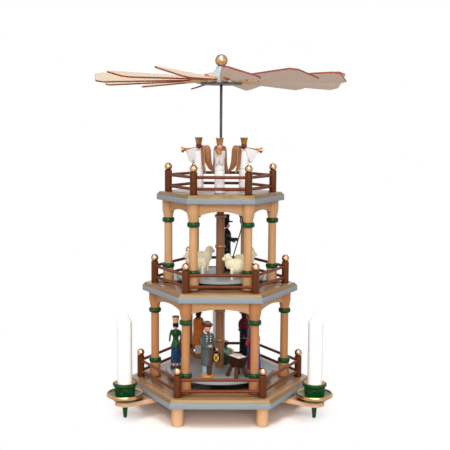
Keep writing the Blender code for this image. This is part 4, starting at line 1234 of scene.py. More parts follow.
def bead(radius, inner_radius, height, middle, steps=14):
    """A closed ring with a full round outside, for a moulding around a turned piece."""
    bulge = [math.radians(-90 + 180 * step / steps) for step in range(steps + 1)]
    depth = radius - inner_radius
    outside = [(inner_radius + depth * math.cos(a) ** 0.6, middle + height / 2 * math.sin(a)) for a in bulge]
    seat = inner_radius - BEAD_SEAT
    return [(seat, middle - height / 2), *outside, (seat, middle + height / 2)]


def build_pillars():
    for tier in (LOWER, MIDDLE):
        low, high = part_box(tier.pillars[0])
        height = high.z - low.z
        # The lower pillars take a darker copy of the beech: painted shade.
        beech = "beech_lower_painted_shade" if tier is LOWER else "beech"
        pillar = Shape().add(from_profile(pillar_profile(height), 40), beech)
        made = ring_of(tier.storey + "_pillars", pillar, beech, tier.pillar_circle, low.z)
        placed(made, "stand", "beech", *tier.pillars)
        rings = Shape()
        for middle in (LOWER_RING_RISE, height - UPPER_RING_DROP):
            ring = bead(RING_RADIUS, PILLAR_SHAFT_RADIUS, RING_HEIGHT, middle)
            rings.add(from_profile(ring, 40), "ring_green")
        made = ring_of(tier.storey + "_pillar_rings", rings, "ring_green", tier.pillar_circle, low.z)
        placed(made, "stand", "green", *tier.pillars)


def build_railings():
    for tier in (LOWER, MIDDLE, UPPER):
        name, circle, floor = tier.railing, tier.post_circle, tier.railing_floor
        side = [(0, 0), (POST_RADIUS, 0), (POST_RADIUS, POST_HEIGHT), (POST_NECK_RADIUS, POST_HEIGHT)]
        outline = rounded([*side, (POST_NECK_RADIUS, POST_BALL_RISE), (0, POST_BALL_RISE)], POST_ROUNDING)
        post = Shape().add(from_profile(outline, 32), "rail_stain")
        placed(ring_of(name + "_posts", post, "rail_stain", circle, floor), "stand", "rail_brown", name)
        ball = Shape().add(ellipsoid((0, 0, POST_BALL_RISE), (POST_BALL_RADIUS,) * 3, 32), "ball_copper")
        placed(ring_of(name + "_balls", ball, "ball_copper", circle, floor), "stand", "gold", name)
        rails = Shape().made(name + "_rails")
        low, high = RAIL_RISES
        sizes = {"Radius": circle, "Floor": floor, "Low": low, "High": high, "Rail Radius": RAIL_RADIUS}
        # The rails take a lighter copy of the posts' stain: painted light.
        TREES["rails"].run_on(rails, Finish=FINISHES["rail_bar_painted_light"], **sizes)
        placed(rails, "stand", "rail_brown", name)


def build_shaft():
    low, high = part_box("shaft")
    tip = low.z + SHAFT_TIP_LENGTH
    outline = rounded([(0, low.z), (SHAFT_RADIUS, tip), (SHAFT_RADIUS, high.z), (0, high.z)], SHAFT_ROUNDING)
    single("steel_shaft", from_profile(outline, 32), "steel", "rotor", "steel", "shaft")
    low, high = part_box("bearing_cup")
    dimple = [(BEARING_DIMPLE_RADIUS, high.z), (0, high.z - BEARING_DIMPLE_DEPTH)]
    outline = rounded([(0, low.z), (high.x, low.z), (high.x, high.z), *dimple], BEARING_ROUNDING, 4)
    single("glass_bearing", from_profile(outline, 48), "glass", "stand", "glass", "bearing_cup")


def table_finish(face):
    # The underside is painted dark: painted shade under the turntable.
    return "table_underside_shade" if face.normal.z < -0.5 else "table_grey"


def build_turntables():
    for tier in (LOWER, MIDDLE):
        low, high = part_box(tier.table)
        top = tier.table_top
        disc = [(0, low.z), (tier.table_radius, low.z), (tier.table_radius, top), (0, top)]
        table = Shape().add(from_profile(rounded(disc, TABLE_EDGE, 4), 128), table_finish)
        column = [(0, top), (COLUMN_RADIUS, top), (COLUMN_RADIUS, top + COLUMN_CAP_RISE)]
        column += [(COLUMN_NECK_RADIUS, top + COLUMN_CAP_RISE), (COLUMN_NECK_RADIUS, high.z), (0, high.z)]
        # The column is beech painted darker: painted shade.
        table.add(from_profile(rounded(column, COLUMN_ROUNDING), 48), "beech_column_painted_shade")
        for radius, height, rise in (
            (COLUMN_BEAD_RADIUS, COLUMN_BEAD_HEIGHT, COLUMN_BEAD_RISE),
            (COLUMN_CAP_RADIUS, COLUMN_CAP_HEIGHT, COLUMN_CAP_RISE),
            (COLUMN_FOOT_RADIUS, COLUMN_FOOT_HEIGHT, 0),
        ):
            table.add(from_profile(bead(radius, COLUMN_NECK_RADIUS, height, top + rise), 48), "bead_brown")
        placed(table.made(tier.table + "_turned"), "rotor", "table_grey", tier.table)


def hub_profile():
    """A flat flange, a drum that takes the pegs, and a cove that runs up to the neck under the ball."""
    run = HUB_SHOULDER_RADIUS - HUB_NECK_RADIUS
    rise = HUB_NECK_RISE - HUB_SHOULDER_RISE
    cove = []
    for step in range(1, HUB_COVE_STEPS + 1):
        angle = QUARTER_TURN * step / HUB_COVE_STEPS
        radius = HUB_SHOULDER_RADIUS - run * math.sin(angle)
        cove.append((radius, HUB_SHOULDER_RISE + rise * (1 - math.cos(angle))))
    flange_top = HUB_FLANGE_HEIGHT - HUB_DROP
    flange = [(0, -HUB_DROP), (HUB_FLANGE_RADIUS, -HUB_DROP), (HUB_FLANGE_RADIUS, flange_top)]
    drum = [(HUB_BODY_RADIUS, flange_top), (HUB_BODY_RADIUS, PEG_RADIUS / 2)]
    outline = [*flange, *drum, (HUB_SHOULDER_RADIUS, HUB_SHOULDER_RISE), *cove]
    return [*rounded(outline, HUB_ROUNDING), (0, HUB_NECK_RISE)]


def hub_finish(face):
    # The flange's edge and the underside are painted darker grey: painted shade.
    out = face.calc_center_median().xy.length
    at_edge = out > HUB_FLANGE_RADIUS * 0.96 and face.normal.z < 0.6
    return "hub_edge_painted_shade" if at_edge or face.normal.z < -0.9 else "hub_grey"


def build_hub():
    axis_height = frame_joint("blade_01_twist")["pos_m"][2]
    hub = Shape().add(from_profile(hub_profile(), 96), hub_finish, shift(0, 0, axis_height))
    placed(hub.made("grey_hub"), "rotor", "hub_grey", "impeller_hub")
    low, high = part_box("finial_ball")
    centre = high.z - FINIAL_RADIUS
    first = -math.degrees(math.acos(FINIAL_FLAT_RADIUS / FINIAL_RADIUS))
    outline = [(0, low.z), *arc((0, centre), FINIAL_RADIUS, first, 90, 26)]
    outline[-1] = (0, high.z)
    single("copper_ball", from_profile(outline, 56), "ball_copper", "rotor", "gold", "finial_ball")


def frame_joint(name):
    return next(joint for joint in frame["joints"] if joint["name"] == name)


def blade_outline():
    upper = [
        (BLADE_ROOT_REACH, BLADE_ROOT_WIDTH / 2),
        (BLADE_SHOULDER_REACH, BLADE_SHOULDER_WIDTH / 2),
        (BLADE_TIP_REACH, BLADE_TIP_WIDTH / 2),
    ]
    outline = upper + [(reach, -across) for reach, across in reversed(upper)]
    return rounded([outline[-1], *outline, outline[0]], BLADE_CORNER)[1:-1]


def blade_finish(face):
    if abs(face.normal.z) < 0.8:
        return "scorched_edge"
    # The underside takes a lighter copy of the veneer: painted light.
    return "veneer" if face.normal.z > 0 else "veneer_below_painted_light"


def peg_finish(face):
    return "peg_end" if face.normal.z > 0.9 else "peg_wood"


def build_blades():
    for number in range(1, BLADES + 1):
        name = f"blade_{number:02d}"
        joint = frame_joint(name + "_twist")
        x, y, _ = joint["axis"]
        pitch = math.radians(joint["range_deg"][1])
        place = shift(0, 0, joint["pos_m"][2]) @ about("Z", math.atan2(y, x)) @ about("X", -pitch)
        blade = Shape()
        blade.bodies = number
        blade.add(slab(blade_outline(), BLADE_THICKNESS, BLADE_EDGE, 1), blade_finish, along_x=True)
        start = HUB_BODY_RADIUS + PEG_SHOULDER_GAP
        length = PEG_END_REACH - start
        peg = rounded([(0, 0), (PEG_RADIUS, 0), (PEG_RADIUS, length), (0, length)], PEG_ROUNDING)
        blade.add(from_profile(peg, 28), peg_finish, shift(start, 0, 0) @ about("Y", QUARTER_TURN))
        placed(blade.made(name + "_paddle", place), f"blade_body_{number:02d}", "veneer", name)


def cup_places():
    """(number, x, y, angle) of each candle."""
    for number in CANDLES:
        low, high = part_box(f"candle_{number}")
        x, y = (low.x + high.x) / 2, (low.y + high.y) / 2
        yield number, x, y, math.atan2(y, x)


def cup_profile():
    """Tail, saucer and socket in one turning, from the tail's tip to the socket's floor."""
    floor = CUP_HEIGHT - SOCKET_DEPTH
    tail_bottom = -ARM_THICKNESS - PEGTAIL_LENGTH
    rim_middle = SAUCER_HEIGHT - SAUCER_RIM_HEIGHT / 2
    rim_inside = SAUCER_RADIUS - SAUCER_RIM_WIDTH
    return {
        "tail": [
            (0, tail_bottom),
            (PEGTAIL_TIP_RADIUS, tail_bottom),
            (PEGTAIL_TOP_RADIUS, -ARM_THICKNESS),
            (0, -ARM_THICKNESS),
        ],
        "saucer": [
            (0, 0),
            (SAUCER_FOOT_RADIUS, 0),
            (SAUCER_RADIUS - SAUCER_RIM_WIDTH / 3, rim_middle - SAUCER_RIM_HEIGHT / 4),
            (SAUCER_RADIUS - SAUCER_RIM_WIDTH / 2, rim_middle),
            (rim_inside, rim_middle),
            (CUP_FOOT_RADIUS + SAUCER_RIM_WIDTH / 2, SAUCER_FLOOR),
            (0, SAUCER_FLOOR),
        ],
        "cup": [
            (0, SAUCER_FLOOR / 2),
            (CUP_FOOT_RADIUS, SAUCER_FLOOR / 2),
            (CUP_NECK_RADIUS, CUP_HEIGHT - CUP_LIP_HEIGHT * 1.5),
            (CUP_LIP_RADIUS, CUP_HEIGHT - CUP_LIP_HEIGHT),
            (CUP_LIP_RADIUS, CUP_HEIGHT - CUP_LIP_HEIGHT / 4),
            (CUP_MOUTH_RADIUS, CUP_HEIGHT),
            (SOCKET_MOUTH_RADIUS, CUP_HEIGHT - CUP_LIP_HEIGHT),
            (SOCKET_FLOOR_RADIUS, floor),
            (0, floor),
        ],
    }


def rim_section():
    """The saucer's rolled rim: an upright oval, open for turning where its ends meet."""
    centre = Vector((SAUCER_RADIUS - SAUCER_RIM_WIDTH / 2, SAUCER_HEIGHT - SAUCER_RIM_HEIGHT / 2))
    points = arc((0, 0), 0.5, 0, 345, 23)
    return [(centre.x + x * SAUCER_RIM_WIDTH, centre.y + y * SAUCER_RIM_HEIGHT) for x, y in points]


def cup_finish(face):
    """The socket's mouth and bore are bare wood; the rest of the cup is green."""
    middle = face.calc_center_median()
    inward = face.normal.x * middle.x + face.normal.y * middle.y
    return "socket_wood" if inward < -NOTHING and middle.z > SAUCER_HEIGHT else "cup_green"


def saucer_finish(face):
    return "saucer_inside" if face.normal.z > 0.2 else "cup_green"


def build_arm(number, reach, angle):
    low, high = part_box(f"candle_arm_{number}")
    half = ARM_WIDTH / 2
    outline = [(ARM_INNER_REACH, half), (ARM_INNER_REACH, -half), *arc((reach, 0), half, -90, 90, 32)]
    bar = Shape()
    bar.bodies = number
    bar.add(slab(outline, ARM_THICKNESS, ARM_EDGE), "arm_beech", along_x=True)
    made = bar.made(f"arm_bar_{number}", shift(0, 0, (low.z + high.z) / 2) @ about("Z", angle))
    placed(made, "stand", "beech_light", f"candle_arm_{number}")


def build_cup(number, x, y):
    profiles = cup_profile()
    cup = Shape()
    cup.bodies = number
    cup.add(from_profile(rounded(profiles["tail"], PEGTAIL_ROUNDING, 5), 32), "cup_green")
    cup.add(from_profile(rounded(profiles["saucer"], SAUCER_ROUNDING, 4), 96), saucer_finish)
    cup.add(from_profile(rim_section(), 96), "rim_gold")
    cup.add(from_profile(rounded(profiles["cup"], CUP_ROUNDING, 4), 72), cup_finish)
    made = cup.made(f"turned_cup_{number}", shift(x, y, LOWER.underside))
    placed(made, "stand", "green", f"candle_cup_{number}")


def build_arms_and_cups():
    for number, x, y, angle in cup_places():
        build_arm(number, math.hypot(x, y), angle)
        build_cup(number, x, y)


def build_candles():
    for number, x, y, angle in cup_places():
        low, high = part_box(f"candle_{number}")
        side = [(0, 0), (CANDLE_RADIUS, 0), (CANDLE_RADIUS, CANDLE_SHOULDER)]
        outline = [*side, (CANDLE_TIP_RADIUS, CANDLE_HEIGHT), (0, CANDLE_HEIGHT)]
        candle = Shape().add(from_profile(rounded(outline, CANDLE_ROUNDING, 5), 64), "wax")
        top = high.z - low.z
        leaning = WICK_RADIUS * (number - 2)
        wick = [
            (0, 0, CANDLE_HEIGHT - WICK_RADIUS * 4, WICK_RADIUS),
            (leaning / 2, 0, CANDLE_HEIGHT, WICK_RADIUS),
            (leaning, 0, top - WICK_RADIUS, WICK_RADIUS * 0.8),
        ]
        candle.add(tube(wick, 12, 4), "wick")
        place = shift(x, y, low.z) @ about("Z", angle)
        placed(candle.made(f"wax_candle_{number}", place), f"candle_body_{number}", "wax", f"candle_{number}")


# Figures are built one unit tall, facing -Y, so every number in them is a share of the figure's height
def head(figure, centre, radius, turn=0.0):
    """A round wooden head with a plain painted face."""
    place = shift(*centre) @ about("Z", turn) @ Matrix.Scale(radius, 4)
    figure.add(ellipsoid((0, 0, 0), (0.94, 0.94, 1.06), 28), "skin", place)
    figure.add(ellipsoid((0, -0.96, -0.06), (0.15, 0.17, 0.17), 12), "skin", place)
    figure.add(ellipsoid((0, -0.86, -0.46), (0.19, 0.07, 0.05), 12), "lip", place)
    for side in (-1, 1):
        for (out, forward, up), radii, finish in (
            (EYE_PLACE, (0.09, 0.06, 0.09), "eye"),
            (CHEEK_PLACE, (0.17, 0.07, 0.15), "cheek"),
        ):
            figure.add(ellipsoid((side * out, forward, up), radii, 12), finish, place)


def hair(figure, centre, radius, finish, turn=0.0, tilt=-38, depth=100):
    """A cap of hair over the back and top of a head."""
    outer = arc((0, 0), 1.10, 90 - depth, 90, 14)
    inner = arc((0, 0), 0.90, 90, 90 - depth, 14)
    outline = [*outer[:-1], (0, 1.10), (0, 0.90), *inner[1:]]
    cap = from_profile(outline, 28, loop=True)
    place = shift(*centre) @ about("Z", turn) @ Matrix.Scale(radius, 4) @ about("X", math.radians(tilt))
    figure.add(cap, finish, place)


def turned_part(figure, shares, finish, rounding=0.012, place=None, segments=40):
    outline = [(0, shares[0][1]), *shares, (0, shares[-1][1])]
    figure.add(from_profile(rounded(outline, rounding, 4), segments), finish, place)


def arm(figure, rows, sleeve, hand_radius=0.024, cuff=None):
    """A sleeve through (x, y, z, radius) rows, a cuff, and the hand that comes out of it."""
    figure.add(tube(rows, 14, 5), sleeve)
    last, before = Vector(rows[-1]).xyz, Vector(rows[-2]).xyz
    way = (last - before).normalized()
    if cuff:
        start = last - way * hand_radius * 0.9
        end = last + way * hand_radius * 0.2
        radius = rows[-1][3] * 1.14
        figure.add(tube([(*start, radius), (*end, radius)], 14, 2), cuff)
    knuckle = last + way * hand_radius * 0.8
    figure.add(ellipsoid(tuple(knuckle), (hand_radius, hand_radius, hand_radius * 1.1), 14), "skin")


def figure_place(node, tier, height=1.0):
    """Where a figure stands on its turntable, and how tall it is made."""
    shares, turn_degrees = FIGURE_PLACES[node]
    x, y = (share * tier.table_radius for share in shares)
    turn = about("Z", math.radians(turn_degrees))
    return shift(x, y, tier.table_top + STANDING_GAP) @ turn @ Matrix.Scale(height, 4)


def node_height(node):
    low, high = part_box(node)
    return high.z - low.z


def stand_figure(figure, node, tier, slot, height=None):
    place = figure_place(node, tier, height or node_height(node))
    return placed(figure.made(node + "_carved", place), "rotor", slot, node)


def build_man_with_lantern():
    man = Shape(node_height("man_with_lantern"))
    turned_part(man, ((0.118, 0.0), (0.118, 0.044)), "ochre", 0.010)
    # The leg on the staff's side is painted darker: painted shade.
    for side, cloth in ((-1, "trouser_blue"), (1, "trouser_painted_shade")):
        leg = [(side * 0.045, 0, 0.040, 0.042), (side * 0.045, 0, 0.225, 0.048)]
        man.add(tube(leg, 18, 2), cloth)
    coat = (
        (0.106, 0.215), (0.110, 0.225), (0.104, 0.50), (0.100, 0.60),
        (0.106, 0.70), (0.098, 0.775), (0.040, 0.800),
    )
    turned_part(man, coat, "coat_grey", 0.020)
    turned_part(man, ((0.1065, 0.500), (0.1085, 0.506), (0.1065, 0.512)), "coat_seam", 0.003)
    turned_part(man, ((0.050, 0.786), (0.050, 0.800), (0.040, 0.808)), "coat_seam", 0.006)
    for side in (-1, 1):
        tab = [(side * 0.030, -0.076, 0.792, 0.008), (side * 0.058, -0.048, 0.802, 0.015)]
        man.add(tube(tab, 10, 2), "collar")
    man.add(block((-0.004, -0.114, 0.225), (0.004, -0.098, 0.770), 0.002), "coat_seam")
    for row in range(3):
        for side in (-1, 1):
            place = (side * 0.034, -0.102, 0.745 - 0.044 * row)
            man.add(ellipsoid(place, (0.011, 0.006, 0.011), 12), "button")
    head(man, (0, -0.010, 0.866), 0.062)
    hair(man, (0, -0.006, 0.870), 0.062, "hair_brown", 0.0, -58, 94)
    tilted = shift(0, 0, 0.935) @ about("Y", math.radians(7)) @ shift(0, 0, -0.935)
    brim = ((0.060, 0.900), (0.082, 0.903), (0.096, 0.924), (0.094, 0.952), (0.082, 0.962))
    turned_part(man, brim, "hat_brown", 0.010, tilted)
    turned_part(man, ((0.084, 0.948), (0.068, 0.976), (0.036, 0.996)), "hat_top", 0.016, tilted)
    right = [
        (-0.094, 0.005, 0.720, 0.034),
        (-0.108, -0.030, 0.630, 0.034),
        (-0.056, -0.098, 0.560, 0.029),
        (0.014, -0.122, 0.572, 0.024),
    ]
    arm(man, right, "coat_grey", 0.024, "trouser_blue")
    left = [
        (0.094, 0.005, 0.720, 0.034),
        (0.118, -0.010, 0.620, 0.032),
        (0.144, -0.035, 0.530, 0.026),
        (0.154, -0.050, 0.505, 0.020),
    ]
    arm(man, left, "coat_grey", 0.025)
    staff = [(0.018, -0.088, 0.042, 0.023), (0.036, -0.114, 0.30, 0.021), (0.062, -0.130, 0.625, 0.020)]
    man.add(tube(staff, 14, 4), "staff")
    add_lantern(man, shift(0.158, -0.052, 0.352) @ about("Z", math.radians(-26)))
    stand_figure(man, "man_with_lantern", LOWER, "coat_grey", node_height("man_with_lantern") * HAT_STRETCH)


def add_lantern(figure, place):
    """A square lantern: glazed core, corner posts, crossed bars on each face, a roof and a ring."""
    half, rise, bar = LANTERN_HALF, LANTERN_RISE, LANTERN_BAR
    core = half * 0.86
    figure.add(block((-core, -core, -rise), (core, core, rise), 0.004), "lantern_pane", place)
    for quarter in range(4):
        face = place @ about("Z", quarter * QUARTER_TURN)
        post = [(half, half, -rise, bar), (half, half, rise, bar)]
        figure.add(tube(post, 8, 1), "lantern_black", face)
        for lean in (-1, 1):
            start = (lean * half, -half, -rise, bar * 1.2)
            end = (-lean * half, -half, rise, bar * 1.2)
            figure.add(tube([start, end], 8, 1), "lantern_black", face)
    for level in (-rise, rise):
        low = (-half - bar, -half - bar, level - bar)
        high = (half + bar, half + bar, level + bar)
        figure.add(block(low, high, 0.004), "lantern_black", place)
    roof = rounded([(0, 0), (half * 1.35, 0), (half * 0.5, rise * 0.36), (0, rise * 0.40)], 0.008)
    figure.add(from_profile(roof, 24), "lantern_black", place @ shift(0, 0, rise))
    turns = [step * FULL_TURN / 10 for step in range(11)]
    ring = [(bar * 3 * math.cos(a), 0, bar * 3 * math.sin(a), bar * 0.55) for a in turns]
    figure.add(tube(ring, 8, 2), "lantern_black", place @ shift(0, 0, rise * 1.62))


def build_woman_in_tall_hat():
    height = node_height("woman_in_tall_hat")
    woman = Shape(height)
    skirt = ((0.098, 0.0), (0.100, 0.012), (0.094, 0.14), (0.088, 0.30), (0.080, 0.42), (0.060, 0.44))
    turned_part(woman, skirt, "skirt_blue", 0.014)
    low, high = BORDER_LOW / height, BORDER_HIGH / height
    border = [(0.092, low), (0.1005, low), (0.0985, high), (0.090, high)]
    woman.add(from_profile(rounded([border[0], *border[1:], border[0]], 0.003)[:-1], 48), "skirt_border")
    peplum = ((0.089, 0.425), (0.090, 0.435), (0.070, 0.50), (0.052, 0.560), (0.050, 0.575))
    turned_part(woman, peplum, "jacket_green", 0.018)
    bodice = ((0.050, 0.560), (0.056, 0.60), (0.076, 0.655), (0.082, 0.695), (0.066, 0.732), (0.030, 0.745))
    turned_part(woman, bodice, "jacket_green", 0.018)
    turned_part(woman, ((0.0535, 0.562), (0.0535, 0.574)), "jacket_dark", 0.004)
    for side in (-1, 1):
        collar = [
            (side * 0.036, -0.040, 0.735, 0.008),
            (side * 0.030, -0.072, 0.690, 0.008),
            (side * 0.004, -0.066, 0.630, 0.006),
        ]
        woman.add(tube(collar, 8, 4), "jacket_dark")
        rows = [
            (side * 0.074, 0, 0.705, 0.028),
            (side * 0.098, 0, 0.645, 0.021),
            (side * 0.110, -0.004, 0.585, 0.017),
            (side * 0.112, -0.014, 0.530, 0.014),
        ]
        arm(woman, rows, "jacket_green", 0.014, "jacket_dark")
    turned_part(woman, ((0.026, 0.735), (0.024, 0.775)), "skin", 0.004)
    head(woman, (0, -0.006, 0.800), 0.046)
    hair(woman, (0, -0.002, 0.804), 0.050, "hair_dark", 0.0, -40, 104)
    turned_part(woman, ((0.049, 0.794), (0.054, 0.810), (0.054, 0.856), (0.051, 0.872)), "hair_dark", 0.008)
    turned_part(woman, ((0.049, 0.864), (0.056, 0.920), (0.066, 0.984), (0.060, 0.992)), "hat_cream", 0.006)
    turned_part(woman, ((0.062, 0.976), (0.0685, 0.982), (0.0685, 0.990), (0.060, 0.993)), "hat_rim", 0.003)
    stand_figure(woman, "woman_in_tall_hat", LOWER, "coat_green")


def build_man_in_orange_coat():
    man = Shape(node_height("man_in_orange_coat"))
    turned_part(man, ((0.112, 0.0), (0.108, 0.075), (0.098, 0.082)), "base_brown", 0.010)
    turned_part(man, ((0.067, 0.075), (0.069, 0.20), (0.066, 0.285)), "trouser_pale", 0.010)
    coat = (
        (0.112, 0.262), (0.116, 0.275), (0.112, 0.42), (0.100, 0.56),
        (0.108, 0.66), (0.102, 0.745), (0.048, 0.790),
    )
    turned_part(man, coat, "coat_orange", 0.020)
    man.add(block((-0.004, -0.112, 0.275), (0.004, -0.086, 0.760), 0.002), "coat_orange_dark")
    turned_part(man, ((0.058, 0.768), (0.060, 0.790), (0.044, 0.798)), "coat_orange_dark", 0.006)
    under = [
        (-0.098, 0, 0.700, 0.036),
        (-0.118, -0.050, 0.615, 0.036),
        (-0.050, -0.118, 0.585, 0.028),
        (0.004, -0.126, 0.590, 0.024),
    ]
    over = [
        (0.098, 0, 0.700, 0.036),
        (0.118, -0.050, 0.625, 0.036),
        (0.056, -0.120, 0.610, 0.028),
        (0.006, -0.134, 0.622, 0.024),
    ]
    arm(man, under, "coat_orange", 0.020, "coat_orange_dark")
    arm(man, over, "coat_orange", 0.020, "coat_orange_dark")
    head(man, (0, -0.004, 0.842), 0.052)
    hair(man, (0, -0.002, 0.844), 0.054, "hair_dark", 0.0, -54, 98)
    turned_part(man, ((0.074, 0.880), (0.078, 0.888), (0.050, 0.896)), "robe_black", 0.004)
    turned_part(man, ((0.052, 0.888), (0.056, 0.94), (0.046, 0.992), (0.030, 1.0)), "robe_black", 0.014)
    sack = [(0.118, 0.015, 0.16, 0.030), (0.124, 0.012, 0.22, 0.040), (0.120, 0.008, 0.29, 0.034)]
    man.add(tube(sack, 14, 4), "base_brown")
    man.add(ellipsoid((0.120, 0.008, 0.325), (0.040, 0.040, 0.034), 16), "cloak_green")
    strap = [
        (0.118, 0.006, 0.345, 0.010),
        (0.100, 0.030, 0.52, 0.010),
        (0.050, 0.078, 0.70, 0.010),
        (0.0, 0.060, 0.775, 0.010),
    ]
    man.add(tube(strap, 8, 4), "coat_orange_dark")
    stand_figure(man, "man_in_orange_coat", LOWER, "coat_orange")


def build_woman_in_blue_robe():
    woman = Shape(node_height("woman_in_blue_robe"))
    dress = (
        (0.108, 0.0), (0.110, 0.012), (0.100, 0.20), (0.086, 0.46),
        (0.074, 0.66), (0.062, 0.775), (0.030, 0.79),
    )
    turned_part(woman, dress, "dress_red", 0.014)
    cloak = (
        (0.134, 0.0), (0.134, 0.012), (0.120, 0.22), (0.106, 0.46),
        (0.096, 0.66), (0.078, 0.780), (0.058, 0.815),
    )
    woman.add(open_cloak(cloak, 0.010, 70), "robe_blue")
    for side, out in ((-1, 0.0), (1, 0.022)):
        rows = [
            (side * 0.078 + out / 2, -0.005, 0.690, 0.034),
            (side * 0.100 + out, -0.016, 0.600, 0.040),
            (side * 0.098 + out, -0.050, 0.520, 0.042),
            (side * 0.070 + out, -0.096, 0.490, 0.036),
        ]
        arm(woman, rows, "dress_red", 0.022, "dress_red")
    head(woman, (0, -0.012, 0.865), 0.054)
    veil = [(0.060, 0.775), (0.072, 0.815), (0.070, 0.875), (0.056, 0.930), (0.030, 0.966), (0.0, 0.976)]
    woman.add(open_cloak(veil, 0.008, 62), "robe_blue")
    hair(woman, (0, -0.008, 0.868), 0.054, "hair_brown", 0.0, -48, 92)
    stand_figure(woman, "woman_in_blue_robe", LOWER, "robe_blue")


def open_cloak(shares, wall, opening_degrees, segments=40):
    """A shell turned about Z that stays open at the front, with a wall and round edges."""
    body = bmesh.new()
    first = math.radians(-90 + opening_degrees / 2)
    sweep = FULL_TURN - math.radians(opening_degrees)
    around = [first + sweep * step / segments for step in range(segments + 1)]
    layers = []
    for inset in (0.0, wall):
        rows = []
        for radius, height in smoothed(shares, 5):
            reach = max(radius - inset, NOTHING)
            rows.append([body.verts.new(on_circle(reach, angle, height)) for angle in around])
        joined_rows(body, rows)
        layers.append(rows)
    outer, inner = layers
    for edge in (0, -1):
        joined_rows(body, (outer[edge], inner[edge]))
        joined_rows(body, [[row[edge] for row in layer] for layer in layers])
    return closed(body)


def build_man_in_red_cape():
    man = Shape(node_height("man_in_red_cape"))
    turned_part(man, ((0.086, 0.0), (0.086, 0.038), (0.074, 0.044)), "base_brown", 0.008)
    robe = ((0.078, 0.040), (0.086, 0.10), (0.082, 0.38), (0.086, 0.55), (0.088, 0.62), (0.040, 0.66))
    turned_part(man, robe, "robe_black", 0.014)
    turned_part(man, ((0.0835, 0.385), (0.0860, 0.392), (0.0835, 0.400)), "belt_bronze", 0.003)
    cape = ((0.100, 0.582), (0.108, 0.592), (0.112, 0.645), (0.106, 0.705), (0.070, 0.760), (0.030, 0.772))
    turned_part(man, cape, "cape_red", 0.020)
    for side in (-1, 1):
        rows = [
            (side * 0.056, -0.030, 0.580, 0.030),
            (side * 0.050, -0.084, 0.530, 0.026),
            (side * 0.016, -0.106, 0.535, 0.020),
        ]
        arm(man, rows, "robe_black", 0.018, "cape_red")
    turned_part(man, ((0.050, 0.758), (0.054, 0.780), (0.042, 0.788)), "cape_red", 0.006)
    head(man, (0, -0.006, 0.832), 0.052)
    hair(man, (0, -0.002, 0.834), 0.053, "hair_dark", 0.0, -54, 98)
    turned_part(man, ((0.092, 0.877), (0.096, 0.885), (0.052, 0.896)), "hat_brown", 0.004)
    turned_part(man, ((0.052, 0.888), (0.055, 0.950), (0.045, 0.992), (0.028, 1.0)), "hat_brown", 0.014)
    stand_figure(man, "man_in_red_cape", LOWER, "cape_red")


def build_kneeling_man():
    height = node_height("kneeling_man")
    man = Shape(height)
    robe = ((0.150, 0.0), (0.152, 0.10), (0.140, 0.30), (0.120, 0.40), (0.060, 0.46))
    turned_part(man, robe, "cloak_green", 0.030, shift(-0.034, 0.030, 0))
    calf = [(-0.07, 0.04, 0.055, 0.062), (-0.07, 0.20, 0.055, 0.055)]
    man.add(tube(calf, 14, 3), "cloak_green")
    back = [
        (-0.030, 0.030, 0.32, 0.125),
        (-0.055, 0.030, 0.50, 0.125),
        (-0.095, 0.035, 0.64, 0.095),
        (-0.120, 0.040, 0.72, 0.060),
    ]
    man.add(tube(back, 24, 6), "cloak_green")
    for side in (-1, 1):
        rows = [
            (side * 0.085 - 0.06, 0.00, 0.580, 0.060),
            (side * 0.105 - 0.01, -0.110, 0.470, 0.075),
            (side * 0.070, -0.235, 0.450, 0.056),
            (side * 0.030, -0.310 + 0.03 * side, 0.470, 0.034),
        ]
        arm(man, rows, "sleeve_sage", 0.034, "sleeve_sage")
    head(man, (-0.145, 0.035, 0.820), 0.088)
    hair(man, (-0.145, 0.045, 0.830), 0.090, "hair_brown", 0.0, -50, 100)
    tipped = shift(-0.145, 0.050, 0.850)
    turned_part(man, ((0.112, 0.030), (0.118, 0.044), (0.070, 0.058)), "sleeve_sage", 0.008, tipped)
    turned_part(man, ((0.080, 0.045), (0.078, 0.095), (0.044, 0.120)), "hat_top", 0.020, tipped)
    stand_figure(man, "kneeling_man", LOWER, "coat_green")


